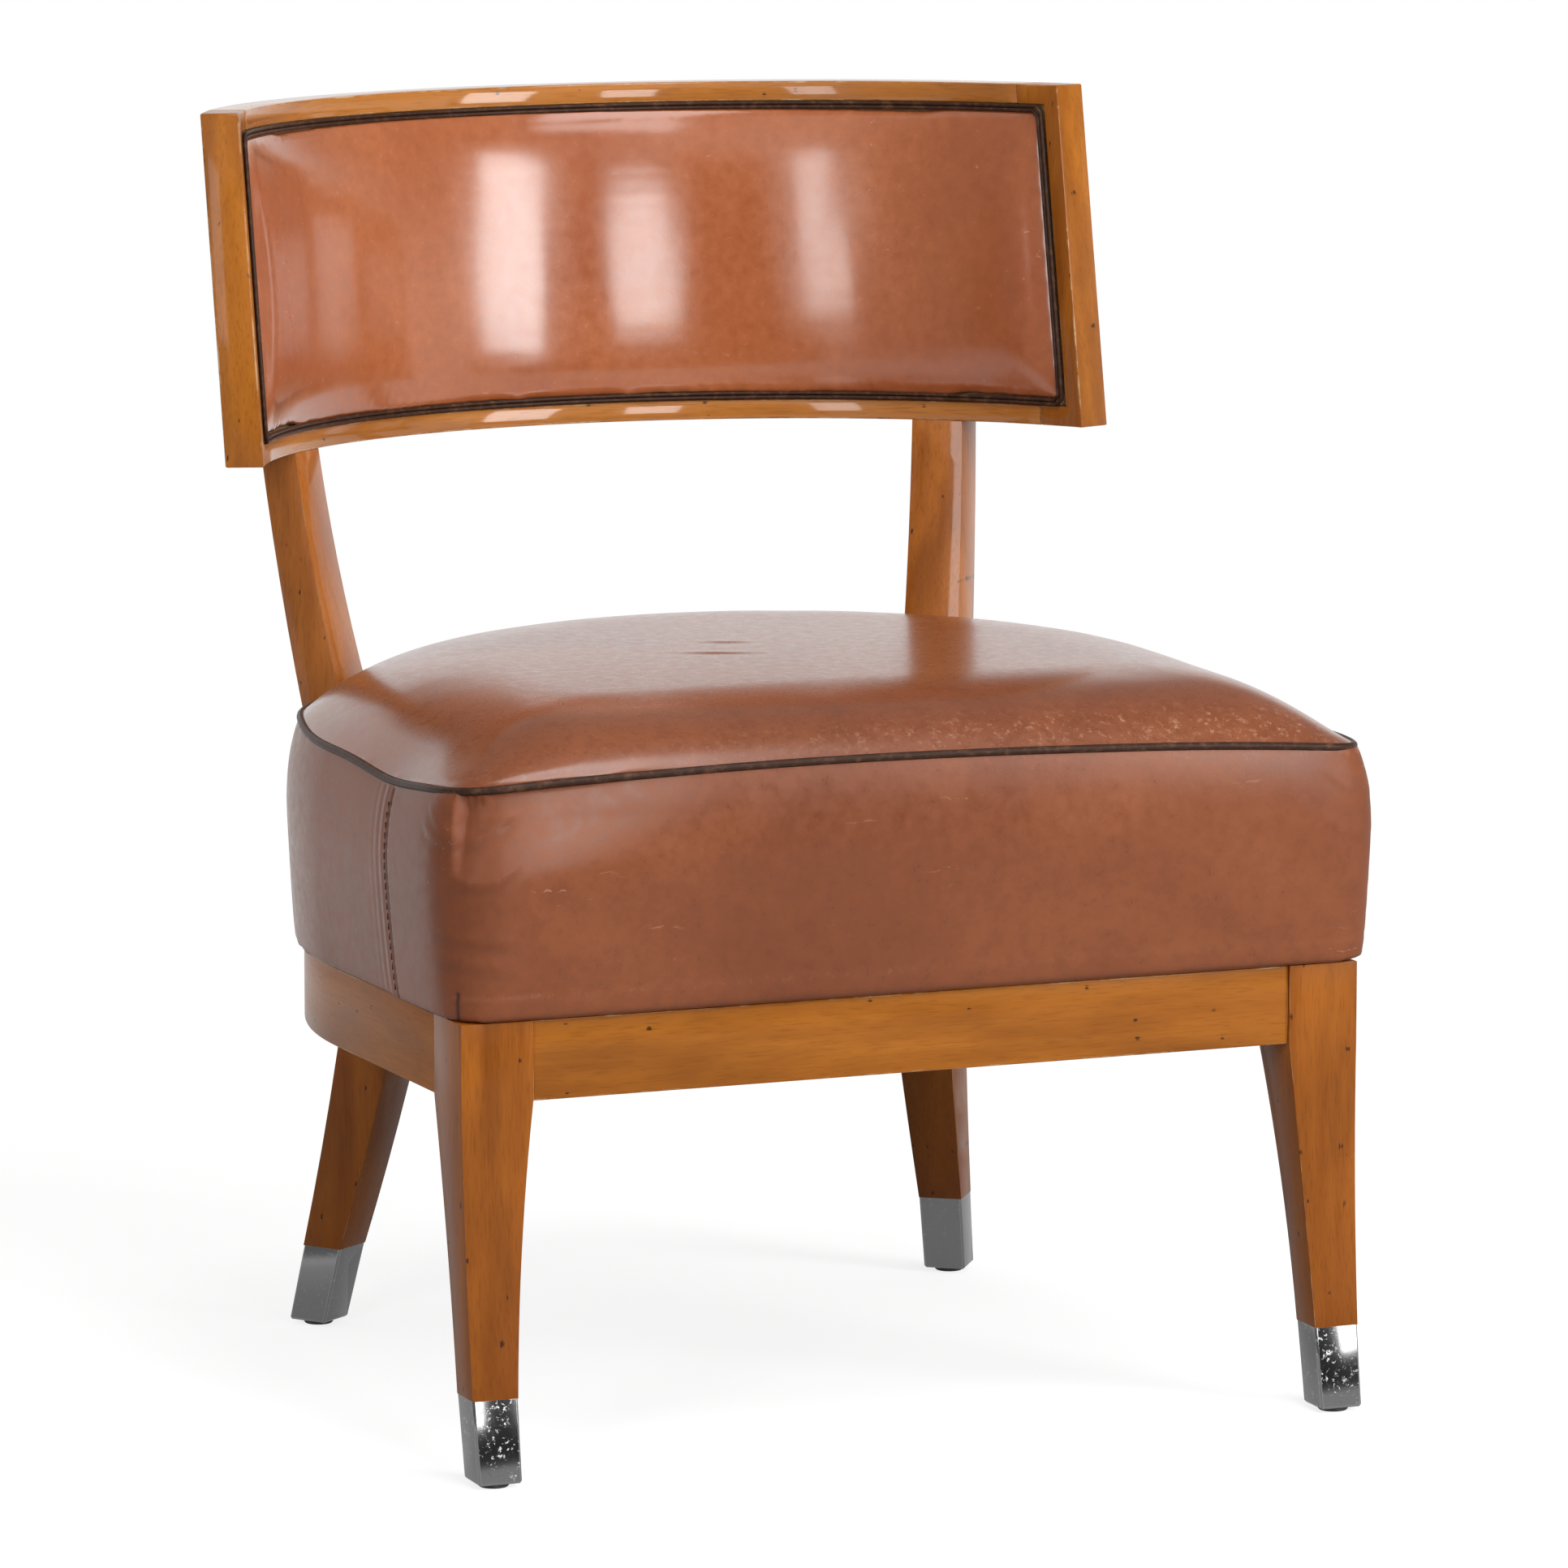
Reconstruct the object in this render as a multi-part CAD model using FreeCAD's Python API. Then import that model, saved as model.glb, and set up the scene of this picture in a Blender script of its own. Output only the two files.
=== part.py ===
import FreeCAD, Part
import math
import os

V = FreeCAD.Vector
ACROSS = V(1, 0, 0)
BACKWARD = V(0, 1, 0)
UP = V(0, 0, 1)

# Cocktail chair: a wooden frame with a D-shaped seat and a curved, raked back, upholstered in leather.
# Millimetres. While modelling, Y is 0 at the front faces of the front legs; the floor is Z 0.

# Seat rails
front_width = 600.0
rail_top = 285.0
rail_height = 50.0
rail_thickness = 26.0
front_rail_setback = 2.0
side_spread = 4.0
hoop_centre_y = 225.0

# Front legs
leg_width = 46.5
leg_depth = 48.5
leg_foot_width = 29.5
leg_foot_depth = 28.0
leg_outer_taper = 2.4
leg_sweep = 11.0
leg_inner_hollow = 1.5
leg_rear_hollow = 2.5

# Rear stiles: leg below the rail, post above it
stile_angle = 42.0
stile_width = 42.0
stile_depth = 42.0
stile_foot_size = 29.2
stile_foot_angle = 36.0
stile_flare = 43.0
stile_leg_hollow = 2.0
post_width = 36.0
post_bow = 7.2
post_stations = 3

# Sabots and glides
sabot_height = 54.0
sabot_wall = 1.5
sabot_floor = 2.5
sabot_edge = 1.4
sabot_fit = 0.1
sabot_taper = 1.2
sabot_sweep = 9.5
sabot_flare = 13.0
glide_height = 3.0
glide_radius = 9.5
glide_nail_size = 3.6
glide_nail_length = 14.0
pin_radius = 1.3
pin_length = 11.0
pin_drop = 11.0
pin_recess = 0.3

# Rail tenons, glue blocks and screws
joint_thickness = 10.0
joint_height = 34.0
joint_depth = 18.0
joint_fit = 0.1
block_height = 40.0
block_reach = 72.0
screw_radius = 2.2
screw_head_radius = 4.2
screw_head_height = 2.4
rear_block_depth = 28.0
rear_block_half_angle = 11.0
seat_screw_bite = 12.0
seat_screw_reach = 35.0

# Seat
leather = 1.4
seat_piping_radius = 2.8
seat_piping_height = 425.0
seat_piping_proud = 0.6
seat_corner_radius = 24.0
seat_crown = 38.5
crown_roll = 110.0
crown_steps = ((0.0, 0.0), (0.17, 0.34), (0.5, 0.82), (1.0, 1.0))
boxing_foot_proud = 2.5
boxing_skirt_proud = 6.2
boxing_belly_proud = 10.0
boxing_shoulder_proud = 9.2
boxing_skirt_rise = 9.0
boxing_belly_share = 0.58
boxing_shoulder_share = 0.82
boxing_turn_under = 22.0
boxing_seam_back = 55.0
soft_gap = 0.3
post_clearance = 1.0
base_thickness = 18.0
base_front_border = 72.0
base_side_border = 110.0
base_opening_past_centre = 150.0
webbing_width = 50.0
webbing_thickness = 2.0
webbing_pitch = 82.0
strap_places = (-1.5, -0.5, 0.5, 1.5)
webbing_lap = 22.0
dust_cover_thickness = 0.8
dust_cover_inset = 9.0
dust_cover_gap = 2.0

# Back: a band bent about an axis that leans back
back_radius = 310.0
back_thickness = 24.7
back_height = 224.7
back_half_angle = 67.3
back_rake = 11.3
back_edge_pitch = 1.75
back_mid_y = 592.0
back_mid_z = 573.0
back_post_angle = 46.0
back_border = 13.0
back_ledge = 35.0
back_rear_border = 25.0
pad_recess = 10.0
pad_board_thickness = 4.0
pad_proud = 8.0
pad_bevel = 9.0
back_piping_radius = 2.5
rear_panel_thickness = 5.0
tenon_thickness = 9.0
tenon_width = 26.0
tenon_height = 22.0
tenon_set_back = 4.6
tenon_fit = 0.15
panel_fit = 0.3

rail_bottom = rail_top - rail_height
rail_middle = rail_top - rail_height / 2
half_front = front_width / 2
hoop_radius = half_front + side_spread
reach = 2000.0
overcut = 1.0
same_size = 0.001


# Common forms

def polygon_face(points):
    return Part.Face(Part.makePolygon(points + [points[0]]))


def wire_of(edges):
    return Part.Wire(Part.__sortEdges__(edges))


def line(a, b):
    return Part.LineSegment(a, b).toShape()


def arc(a, b, c):
    return Part.Arc(a, b, c).toShape()


def bowed(a, b, bow):
    """Arc from a to b whose middle stands off the chord by the vector bow."""
    return arc(a, (a + b) * 0.5 + bow, b)


def mirrored(shape):
    return shape.mirror(V(0, 0, 0), ACROSS)


def rod(start, direction, radius, length):
    return Part.makeCylinder(radius, length, start, direction)


def screw(tip_from, direction, length):
    """Pan-head screw: the head stands behind tip_from, the shank runs along direction."""
    shank = rod(tip_from, direction, screw_radius, length)
    head = rod(tip_from - direction * screw_head_height, direction, screw_head_radius, screw_head_height)
    return head.fuse(shank)


def heading(angle):
    """Plan direction at an angle in degrees from straight back, turning to the right."""
    return V(math.sin(math.radians(angle)), math.cos(math.radians(angle)), 0)


def on_hoop(radius, angle, z):
    return V(0, hoop_centre_y, z) + heading(angle) * radius


def corners(centre, angle, width, depth):
    """Corners of a level rectangle, depth along the heading and width across it."""
    out = heading(angle) * (depth / 2)
    side = heading(angle + 90) * (width / 2)
    return [centre - out - side, centre - out + side, centre + out + side, centre + out - side]


def section(centre, angle, width, depth):
    points = corners(centre, angle, width, depth)
    return Part.makePolygon(points + [points[0]])


def tapered_block(lower, upper):
    """Solid between two level rectangles, given by their corners."""
    sides = [polygon_face([lower[i - 1], lower[i], upper[i], upper[i - 1]]) for i in range(4)]
    return Part.makeSolid(Part.makeShell(sides + [polygon_face(lower), polygon_face(upper)]))


def loft(wires):
    return Part.makeLoft(wires, True)


def panelled(wires):
    """Loft with straight runs from each outline to the next."""
    return Part.makeLoft(wires, True, True)


# Feet: where a leg's end, its sabot and its glide meet

class Foot:
    """Tapered, swept end of a leg, from the top of its sabot down to the glide."""

    def __init__(self, centre, angle, width, depth, drift):
        self.centre = centre
        self.angle = angle
        self.width = width
        self.depth = depth
        self.drift = drift

    def middle(self, z):
        share = (sabot_height - z) / (sabot_height - glide_height)
        return V(self.centre.x, self.centre.y, z) + heading(self.angle) * (self.drift * share)

    def outline(self, z, inset):
        share = (sabot_height - z) / (sabot_height - glide_height)
        width = self.width - sabot_taper * share - 2 * inset
        depth = self.depth - sabot_taper * share - 2 * inset
        return corners(self.middle(z), self.angle, width, depth)

    def body(self, top, bottom, inset):
        return tapered_block(self.outline(bottom, inset), self.outline(top, inset))

    def nail(self):
        start = self.middle(glide_height) - UP * (glide_height / 2)
        shank = section(start, self.angle, glide_nail_size, glide_nail_size)
        return Part.Face(shank).extrude(UP * (glide_height / 2 + sabot_floor + glide_nail_length))

    def pin(self):
        inward = -1 if self.drift > 0 else 1
        direction = heading(self.angle) * inward
        level = self.middle(sabot_height - pin_drop)
        wall_face = level + direction * (self.depth / 2 - pin_recess - pin_length)
        return rod(wall_face, direction, pin_radius, pin_length)

    def peg(self):
        """Wood inside the sabot."""
        seat = glide_height + sabot_floor
        peg = self.body(sabot_height, seat, sabot_wall + sabot_fit)
        return peg.cut([self.nail(), self.pin()])

    def sabot(self):
        shell = self.body(sabot_height, glide_height, 0)
        rounded = [e for e in shell.Edges if e.BoundBox.ZMin < sabot_height - sabot_edge]
        shell = shell.makeChamfer(sabot_edge, rounded)
        cavity = self.body(sabot_height, glide_height + sabot_floor, sabot_wall)
        return shell.cut([cavity, self.nail(), self.pin()])

    def glide(self):
        pad = rod(self.middle(glide_height) - UP * glide_height, UP, glide_radius, glide_height)
        pad = pad.makeChamfer(glide_height / 4, [pad.Edges[2]])
        return pad.fuse(self.nail())


outer_foot_x = half_front - leg_outer_taper
inner_foot_x = outer_foot_x - leg_foot_width
front_foot = Foot(V((outer_foot_x + inner_foot_x) / 2, leg_foot_depth / 2 - leg_sweep, sabot_height),
                  0, leg_foot_width, leg_foot_depth, -sabot_sweep)
stile_line = hoop_radius - stile_depth / 2
rear_foot = Foot(on_hoop(stile_line + stile_flare, stile_angle, sabot_height),
                 stile_foot_angle, stile_foot_size, stile_foot_size, sabot_flare)


# Front legs: two sawn profiles, seen from the front and from the side

def front_leg():
    inner_x = half_front - leg_width
    front_view = wire_of([
        line(V(half_front, 0, rail_top), V(half_front, 0, rail_bottom)),
        line(V(half_front, 0, rail_bottom), V(outer_foot_x, 0, sabot_height)),
        line(V(outer_foot_x, 0, sabot_height), V(inner_foot_x, 0, sabot_height)),
        bowed(V(inner_foot_x, 0, sabot_height), V(inner_x, 0, rail_bottom), V(leg_inner_hollow, 0, 0)),
        line(V(inner_x, 0, rail_bottom), V(inner_x, 0, rail_top)),
        line(V(inner_x, 0, rail_top), V(half_front, 0, rail_top))])
    rear_foot_y = leg_foot_depth - leg_sweep
    quarter = (rail_bottom + sabot_height) / 2
    side_view = wire_of([
        line(V(0, 0, rail_top), V(0, 0, rail_bottom)),
        arc(V(0, 0, rail_bottom), V(0, -leg_sweep / 4, quarter), V(0, -leg_sweep, sabot_height)),
        line(V(0, -leg_sweep, sabot_height), V(0, rear_foot_y, sabot_height)),
        bowed(V(0, rear_foot_y, sabot_height), V(0, leg_depth, rail_bottom), V(0, -leg_rear_hollow, 0)),
        line(V(0, leg_depth, rail_bottom), V(0, leg_depth, rail_top)),
        line(V(0, leg_depth, rail_top), V(0, 0, rail_top))])
    across = Part.Face(front_view)
    across.translate(BACKWARD * -reach)
    along = Part.Face(side_view)
    leg = across.extrude(BACKWARD * 2 * reach).common(along.extrude(ACROSS * reach))
    return leg.fuse(front_foot.peg())


# Back band: built upright about its own axis, then leaned back

band_tilt = back_rake - back_edge_pitch
back_place = FreeCAD.Placement(
    V(0, back_mid_y - back_radius * math.cos(math.radians(back_rake)),
      back_mid_z + back_radius * math.sin(math.radians(back_rake))),
    FreeCAD.Rotation(ACROSS, -back_rake))


def slab(low, high):
    """Layer of the band between two heights above its lower edge."""
    layer = Part.makeBox(reach, reach, high - low, V(-reach / 2, back_radius - reach / 2, low))
    layer.rotate(V(0, back_radius, 0), ACROSS, band_tilt)
    return layer


def sector(inner, outer, inset):
    """Upright ring sector whose ends stand back from the band's ends by inset."""
    half = back_half_angle - math.degrees(math.asin(inset / back_radius))
    base = V(0, 0, -reach / 2)
    ring = Part.makeCylinder(outer, reach, base, UP, 2 * half)
    ring.rotate(V(0, 0, 0), UP, 90 - half)
    return ring.cut(Part.makeCylinder(inner, reach, base, UP))


def curved_board(inner, outer, inset):
    return sector(inner, outer, inset).common(slab(inset, back_height - inset))


def leaned(shape):
    shape.Placement = back_place.multiply(shape.Placement)
    return shape


back_outer = back_radius + back_thickness
pad_floor = back_radius + pad_recess
rear_rebate = back_outer - rear_panel_thickness


def tenon(play):
    """Tongue on top of the right-hand post, let into the band's lower rail."""
    thickness = tenon_thickness + 2 * play
    width = tenon_width + 2 * play
    middle = back_radius + back_thickness / 2 + tenon_set_back
    root = -tenon_width / 3
    tongue = Part.makeBox(width, thickness, tenon_height + play - root,
                          V(-width / 2, middle - thickness / 2, root))
    tongue.rotate(V(0, 0, 0), UP, -back_post_angle)
    tongue.translate(UP * lower_edge_height(back_post_angle))
    return leaned(tongue)


def lower_edge_height(angle):
    """Height of the band's lower edge along its own axis, at an angle from the middle."""
    middle = back_radius + back_thickness / 2
    behind = middle * math.cos(math.radians(angle)) - back_radius
    return behind * math.tan(math.radians(band_tilt))


def back_frame():
    frame = curved_board(back_radius, back_outer, 0)
    frame = frame.cut(curved_board(back_radius - overcut, pad_floor, back_border))
    frame = frame.cut(curved_board(back_radius - overcut, back_outer + overcut, back_ledge))
    return frame.cut(curved_board(rear_rebate, back_outer + overcut, back_rear_border))


def back_rails():
    frame = back_frame()
    between = sector(back_radius - overcut, back_outer + overcut, back_ledge)
    rails = frame.common(between)
    ends = frame.cut(between)
    top = rails.common(slab(back_height / 2, back_height))
    bottom = leaned(rails.common(slab(0, back_height / 2)))
    mortise = tenon(tenon_fit)
    bottom = bottom.cut(mortise).cut(mirrored(mortise))
    stiles = sorted(ends.Solids, key=lambda solid: solid.CenterOfMass.x)
    return leaned(top), bottom, leaned(stiles[0]), leaned(stiles[1])


def rear_panel():
    return leaned(curved_board(rear_rebate, back_outer, back_rear_border + panel_fit))


# Back pad: board, foam, leather and the piping round it

pad_inset = back_border + 2 * back_piping_radius


def pad_board():
    return leaned(curved_board(pad_floor - pad_board_thickness, pad_floor, back_border + panel_fit))


def front_edges(form, radius):
    """Edges round the face of a band piece that has the given radius."""
    face = [f for f in form.Faces if abs(getattr(f.Surface, "Radius", 0) - radius) < same_size][0]
    return face.Edges


def pad_form(shrink):
    """Pad with its front edge turned over in two bevels, smaller all round by shrink."""
    front = back_radius - pad_proud + shrink
    form = curved_board(front, pad_floor - pad_board_thickness, pad_inset + shrink)
    for bevel in (pad_bevel, pad_bevel / 2):
        form = form.makeChamfer(bevel, front_edges(form, front))
    return form


def pad_pieces():
    foam = pad_form(leather + soft_gap)
    cover = pad_form(0).cut(pad_form(leather))
    return leaned(foam), leaned(cover)


def back_piping():
    """Cord between the frame's border and the pad, bevelled where it shows."""
    front = back_radius - back_piping_radius
    cord = curved_board(front, back_radius + back_piping_radius, back_border)
    cord = cord.cut(curved_board(front - overcut, back_outer, pad_inset))
    bevel = back_piping_radius * (1 - math.tan(math.pi / 8))
    return leaned(cord.makeChamfer(bevel, front_edges(cord, front)))


# Rear stiles

post_top = back_place.multVec(heading(back_post_angle) * (back_radius + back_thickness / 2)
                              + UP * lower_edge_height(back_post_angle))


def post(extra):
    """Post above the rail, grown by extra on every side."""
    start = on_hoop(stile_line, stile_angle, rail_top)
    wires = []
    for step in range(post_stations + 1):
        share = step / post_stations
        middle = start + (post_top - start) * share
        middle += heading(stile_angle) * (4 * post_bow * share * (1 - share))
        angle = stile_angle + (back_post_angle - stile_angle) * share
        width = stile_width + (post_width - stile_width) * share
        depth = back_thickness + (stile_depth - back_thickness) * (1 - share) ** 2
        wires.append(section(middle, angle, width + 2 * extra, depth + 2 * extra))
    shaft = loft(wires)
    top_face = Part.Face(wires[-1])
    lean = back_place.Rotation.multVec(UP)
    return shaft.fuse(top_face.extrude(lean * tenon_height))


def rear_stile():
    foot = section(rear_foot.centre, stile_foot_angle, stile_foot_size, stile_foot_size)
    knee = on_hoop(stile_line, stile_angle, rail_bottom)
    toe = rear_foot.centre
    half_way = (knee + toe) * 0.5 - heading(stile_angle) * stile_leg_hollow
    middle = section(half_way, (stile_angle + stile_foot_angle) / 2,
                     (stile_width + stile_foot_size) / 2, (stile_depth + stile_foot_size) / 2)
    shoulder = section(knee, stile_angle, stile_width, stile_depth)
    leg = loft([foot, middle, shoulder])
    block = Part.Face(shoulder).extrude(UP * rail_height)
    above = leaned(slab(0, back_height))
    upper = post(0).cut(above)
    return leg.multiFuse([block, upper, tenon(0), rear_foot.peg()]).removeSplitter()


# Seat rails

side_run = hoop_centre_y - leg_depth
side_flare = math.degrees(math.atan2(side_run, half_front)
                          - math.acos(hoop_radius / math.hypot(half_front, side_run)))


def side_line(inset, y):
    """Point of the straight side at a depth inset from the outer face."""
    flare = math.radians(side_flare)
    return V(half_front + (y - leg_depth) * math.tan(flare) - inset / math.cos(flare), y, rail_bottom)


def side_rail(stile):
    inner = hoop_radius - rail_thickness
    begin = 90 + side_flare
    middle = (begin + stile_angle) / 2
    plan = wire_of([
        line(side_line(0, leg_depth), on_hoop(hoop_radius, begin, rail_bottom)),
        arc(on_hoop(hoop_radius, begin, rail_bottom), on_hoop(hoop_radius, middle, rail_bottom),
            on_hoop(hoop_radius, stile_angle, rail_bottom)),
        line(on_hoop(hoop_radius, stile_angle, rail_bottom), on_hoop(inner, stile_angle, rail_bottom)),
        arc(on_hoop(inner, stile_angle, rail_bottom), on_hoop(inner, middle, rail_bottom),
            on_hoop(inner, begin, rail_bottom)),
        line(on_hoop(inner, begin, rail_bottom), side_line(rail_thickness, leg_depth)),
        line(side_line(rail_thickness, leg_depth), side_line(0, leg_depth))])
    return Part.Face(plan).extrude(UP * rail_height).cut(stile)


def back_rail(stiles):
    inner = hoop_radius - rail_thickness
    left = [on_hoop(hoop_radius, -stile_angle, rail_bottom), on_hoop(inner, -stile_angle, rail_bottom)]
    right = [on_hoop(hoop_radius, stile_angle, rail_bottom), on_hoop(inner, stile_angle, rail_bottom)]
    plan = wire_of([
        arc(left[0], on_hoop(hoop_radius, 0, rail_bottom), right[0]),
        line(right[0], right[1]),
        arc(right[1], on_hoop(inner, 0, rail_bottom), left[1]),
        line(left[1], left[0])])
    return Part.Face(plan).extrude(UP * rail_height).cut(stiles).Solids[0]


def front_rail():
    inner_x = half_front - leg_width
    return Part.makeBox(2 * inner_x, rail_thickness, rail_height,
                        V(-inner_x, front_rail_setback, rail_bottom))


def rail_tenon(end, play):
    """Tenon of a seat rail, standing on the rail's end and pointing out of it."""
    spot, direction = end
    side = UP.cross(direction)
    width = joint_thickness + 2 * play
    height = joint_height + 2 * play
    root = joint_thickness / 2
    corner = V(spot.x, spot.y, rail_middle) - direction * root - side * (width / 2) - UP * (height / 2)
    base = polygon_face([corner, corner + side * width, corner + side * width + UP * height,
                         corner + UP * height])
    return base.extrude(direction * (root + joint_depth + play))


rail_line = on_hoop(hoop_radius - rail_thickness / 2, stile_angle, 0)
tangent = heading(stile_angle + 90)
front_rail_end = (V(half_front - leg_width, front_rail_setback + rail_thickness / 2, 0), ACROSS)
side_rail_front = (side_line(rail_thickness / 2, leg_depth), heading(side_flare) * -1)
side_rail_rear = (rail_line + tangent * (stile_width / 2), tangent * -1)
back_rail_end = (rail_line - tangent * (stile_width / 2), tangent)


# Glue blocks

block_bottom = rail_middle - block_height / 2


def front_block():
    rail_face = front_rail_setback + rail_thickness
    inner_x = half_front - leg_width
    far_y = leg_depth + block_reach
    near = side_line(rail_thickness, leg_depth)
    far = side_line(rail_thickness, far_y)
    plan = [(inner_x - block_reach, rail_face), (inner_x, rail_face), (inner_x, leg_depth),
            (near.x, leg_depth), (far.x, far_y)]
    return polygon_face([V(x, y, block_bottom) for x, y in plan]).extrude(UP * block_height)


def rear_block():
    outer = hoop_radius - rail_thickness
    inner = outer - rear_block_depth
    side = rear_block_half_angle
    corners = [on_hoop(outer, -side, block_bottom), on_hoop(outer, side, block_bottom),
               on_hoop(inner, side, block_bottom), on_hoop(inner, -side, block_bottom)]
    plan = wire_of([
        arc(corners[0], on_hoop(outer, 0, block_bottom), corners[1]),
        line(corners[1], corners[2]),
        arc(corners[2], on_hoop(inner, 0, block_bottom), corners[3]),
        line(corners[3], corners[0])])
    return Part.Face(plan).extrude(UP * block_height)


def seat_screws():
    """Screws up through the glue blocks into the seat's plywood base."""
    top = rail_top + leather + seat_screw_bite
    start = top - seat_screw_reach - seat_screw_bite
    spread = half_front - leg_width - block_reach / 4
    rail_face = front_rail_setback + rail_thickness
    spots = [V(side * spread, rail_face + block_reach / 4, start) for side in (-1, 1)]
    spots.append(on_hoop(hoop_radius - rail_thickness - rear_block_depth / 2, 0, start))
    return [screw(spot, UP, top - start) for spot in spots]


# Seat outlines: front line, rounded corners, slightly flared sides and a half-round back

def seat_outline(proud, z):
    half = half_front + proud
    front = -proud
    radius = hoop_radius + proud
    depth = hoop_centre_y - front
    flare = math.atan2(depth, half) - math.acos(radius / math.hypot(half, depth))
    corner = seat_corner_radius + max(proud, 0)
    turn = math.pi / 2 - flare
    cut = corner * math.tan(turn / 2)
    knee = turn / 2 - math.pi / 2
    right = [V(half - cut, front, z),
             V(half - cut + corner * math.cos(knee), front + corner + corner * math.sin(knee), z),
             V(half + cut * math.sin(flare), front + cut * math.cos(flare), z),
             V(radius * math.cos(flare), hoop_centre_y - radius * math.sin(flare), z),
             V(radius * math.cos(turn / 2), hoop_centre_y + radius * math.sin(turn / 2), z)]
    left = [V(-point.x, point.y, z) for point in right]
    rear = V(0, hoop_centre_y + radius, z)
    return Part.Wire([line(left[0], right[0]), arc(right[0], right[1], right[2]), line(right[2], right[3]),
                      arc(right[3], right[4], rear), arc(rear, left[4], left[3]), line(left[3], left[2]),
                      arc(left[2], left[1], left[0])])


def seat_plate(proud, low, high):
    return Part.Face(seat_outline(proud, low)).extrude(UP * (high - low))


boxing_top = seat_piping_height - seat_piping_radius
crown_base = seat_piping_height + seat_piping_radius
boxing_bottom = rail_top


def boxing_form():
    """Bulging outside of the seat's wall, from the rail up to the piping."""
    rise = boxing_top - boxing_bottom
    profile = [(boxing_bottom, boxing_foot_proud), (boxing_bottom + boxing_skirt_rise, boxing_skirt_proud),
               (boxing_bottom + rise * boxing_belly_share, boxing_belly_proud),
               (boxing_bottom + rise * boxing_shoulder_share, boxing_shoulder_proud),
               (boxing_top, seat_piping_radius)]
    return panelled([seat_outline(proud, z) for z, proud in profile])


def crown_form(shrink):
    """Top of the seat, inside the leather's face by shrink: flat in the middle, rolled down all round."""
    proud = seat_piping_proud - shrink
    height = seat_crown - shrink
    return panelled([seat_outline(proud - crown_roll * inward, crown_base + height * rise)
                     for inward, rise in crown_steps])


base_bottom = rail_top + leather
base_top = base_bottom + base_thickness
webbing_top = base_top + 2 * webbing_thickness


def seat_foam(notches):
    body = seat_plate(boxing_foot_proud - leather - soft_gap, webbing_top, boxing_top)
    neck = seat_plate(seat_piping_proud - seat_piping_radius - soft_gap, boxing_top, crown_base)
    return body.fuse([neck, crown_form(leather + soft_gap)]).cut(notches).removeSplitter()


def seat_base(notches):
    """Plywood board that follows the seat's outline, with a sawn opening under the straps."""
    board = seat_plate(boxing_foot_proud - leather - soft_gap, base_bottom, base_top)
    half = half_front - base_side_border
    depth = hoop_centre_y + base_opening_past_centre - base_front_border
    opening = Part.makeBox(2 * half, depth, base_thickness, V(-half, base_front_border, base_bottom))
    return board.cut([opening] + notches)


def boxing_panels(notches):
    """Padded leather walls with their lower edge turned under the base, parted at the seams."""
    inside = seat_plate(boxing_foot_proud - leather, base_bottom, boxing_top)
    turned = seat_plate(-boxing_turn_under, boxing_bottom, base_bottom)
    wall = boxing_form().cut([inside, turned] + notches)
    front_part = Part.makeBox(2 * reach, reach + boxing_seam_back, reach, V(-reach, -reach, 0))
    front = wall.common(front_part)
    rest = wall.cut(front_part)
    wedge_points = [V(0, hoop_centre_y, 0), V(0, hoop_centre_y, 0) + heading(-stile_angle) * reach,
                    V(0, hoop_centre_y, 0) + heading(stile_angle) * reach]
    rear_part = polygon_face(wedge_points).extrude(UP * reach)
    back = rest.common(rear_part)
    sides = sorted(rest.cut(rear_part).Solids, key=lambda solid: solid.CenterOfMass.x)
    return front, sides[0], sides[-1], back


def crown_cover(notches):
    return crown_form(0).cut([crown_form(leather)] + notches)


def seat_piping(notches):
    """Cord in its leather sleeve, eight-sided outside, flat against the foam."""
    flat = seat_piping_radius * math.tan(math.pi / 8)
    outer = seat_piping_proud + seat_piping_radius
    levels = [(boxing_top, seat_piping_proud + flat), (seat_piping_height - flat, outer),
              (seat_piping_height + flat, outer), (crown_base, seat_piping_proud + flat)]
    cord = panelled([seat_outline(proud, z) for z, proud in levels])
    inside = seat_plate(seat_piping_proud - seat_piping_radius, boxing_top, crown_base)
    return cord.cut([inside] + notches)


def webbing(notches):
    """Straps over the base: lengthwise ones first, crosswise ones on top of them."""
    edge = boxing_foot_proud - leather - webbing_lap
    straps = []
    for across, low in ((ACROSS, base_top), (BACKWARD, base_top + webbing_thickness)):
        field = seat_plate(edge, low, low + webbing_thickness)
        for place in strap_places:
            middle = V(0, hoop_centre_y, low) + across * (place * webbing_pitch)
            along = BACKWARD if across == ACROSS else ACROSS
            corner = middle - across * (webbing_width / 2) - along * reach
            size = across * webbing_width + along * (2 * reach)
            strap = Part.makeBox(size.x, size.y, webbing_thickness, corner)
            straps.append(strap.common(field).cut(notches))
    return Part.makeCompound(straps)


def leg_notches():
    """Room for the tops of the legs in the edge of the dust cover."""
    near_x = half_front - leg_width - dust_cover_gap
    front = Part.makeBox(reach, reach + leg_depth + dust_cover_gap, rail_top, V(near_x, -reach, 0))
    rear_plan = section(on_hoop(stile_line, stile_angle, 0), stile_angle,
                        stile_width + 2 * dust_cover_gap, stile_depth + 2 * dust_cover_inset)
    rear = Part.Face(rear_plan).extrude(UP * rail_top)
    return [front, rear, mirrored(front), mirrored(rear)]


def dust_cover():
    sheet = seat_plate(-dust_cover_inset, rail_bottom - dust_cover_thickness, rail_bottom)
    return sheet.cut(leg_notches())


# Assembly

leg_right = front_leg()
stile_right = rear_stile()
stile_left = mirrored(stile_right)
notch = post(post_clearance)
notches = [notch, mirrored(notch)]

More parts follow.
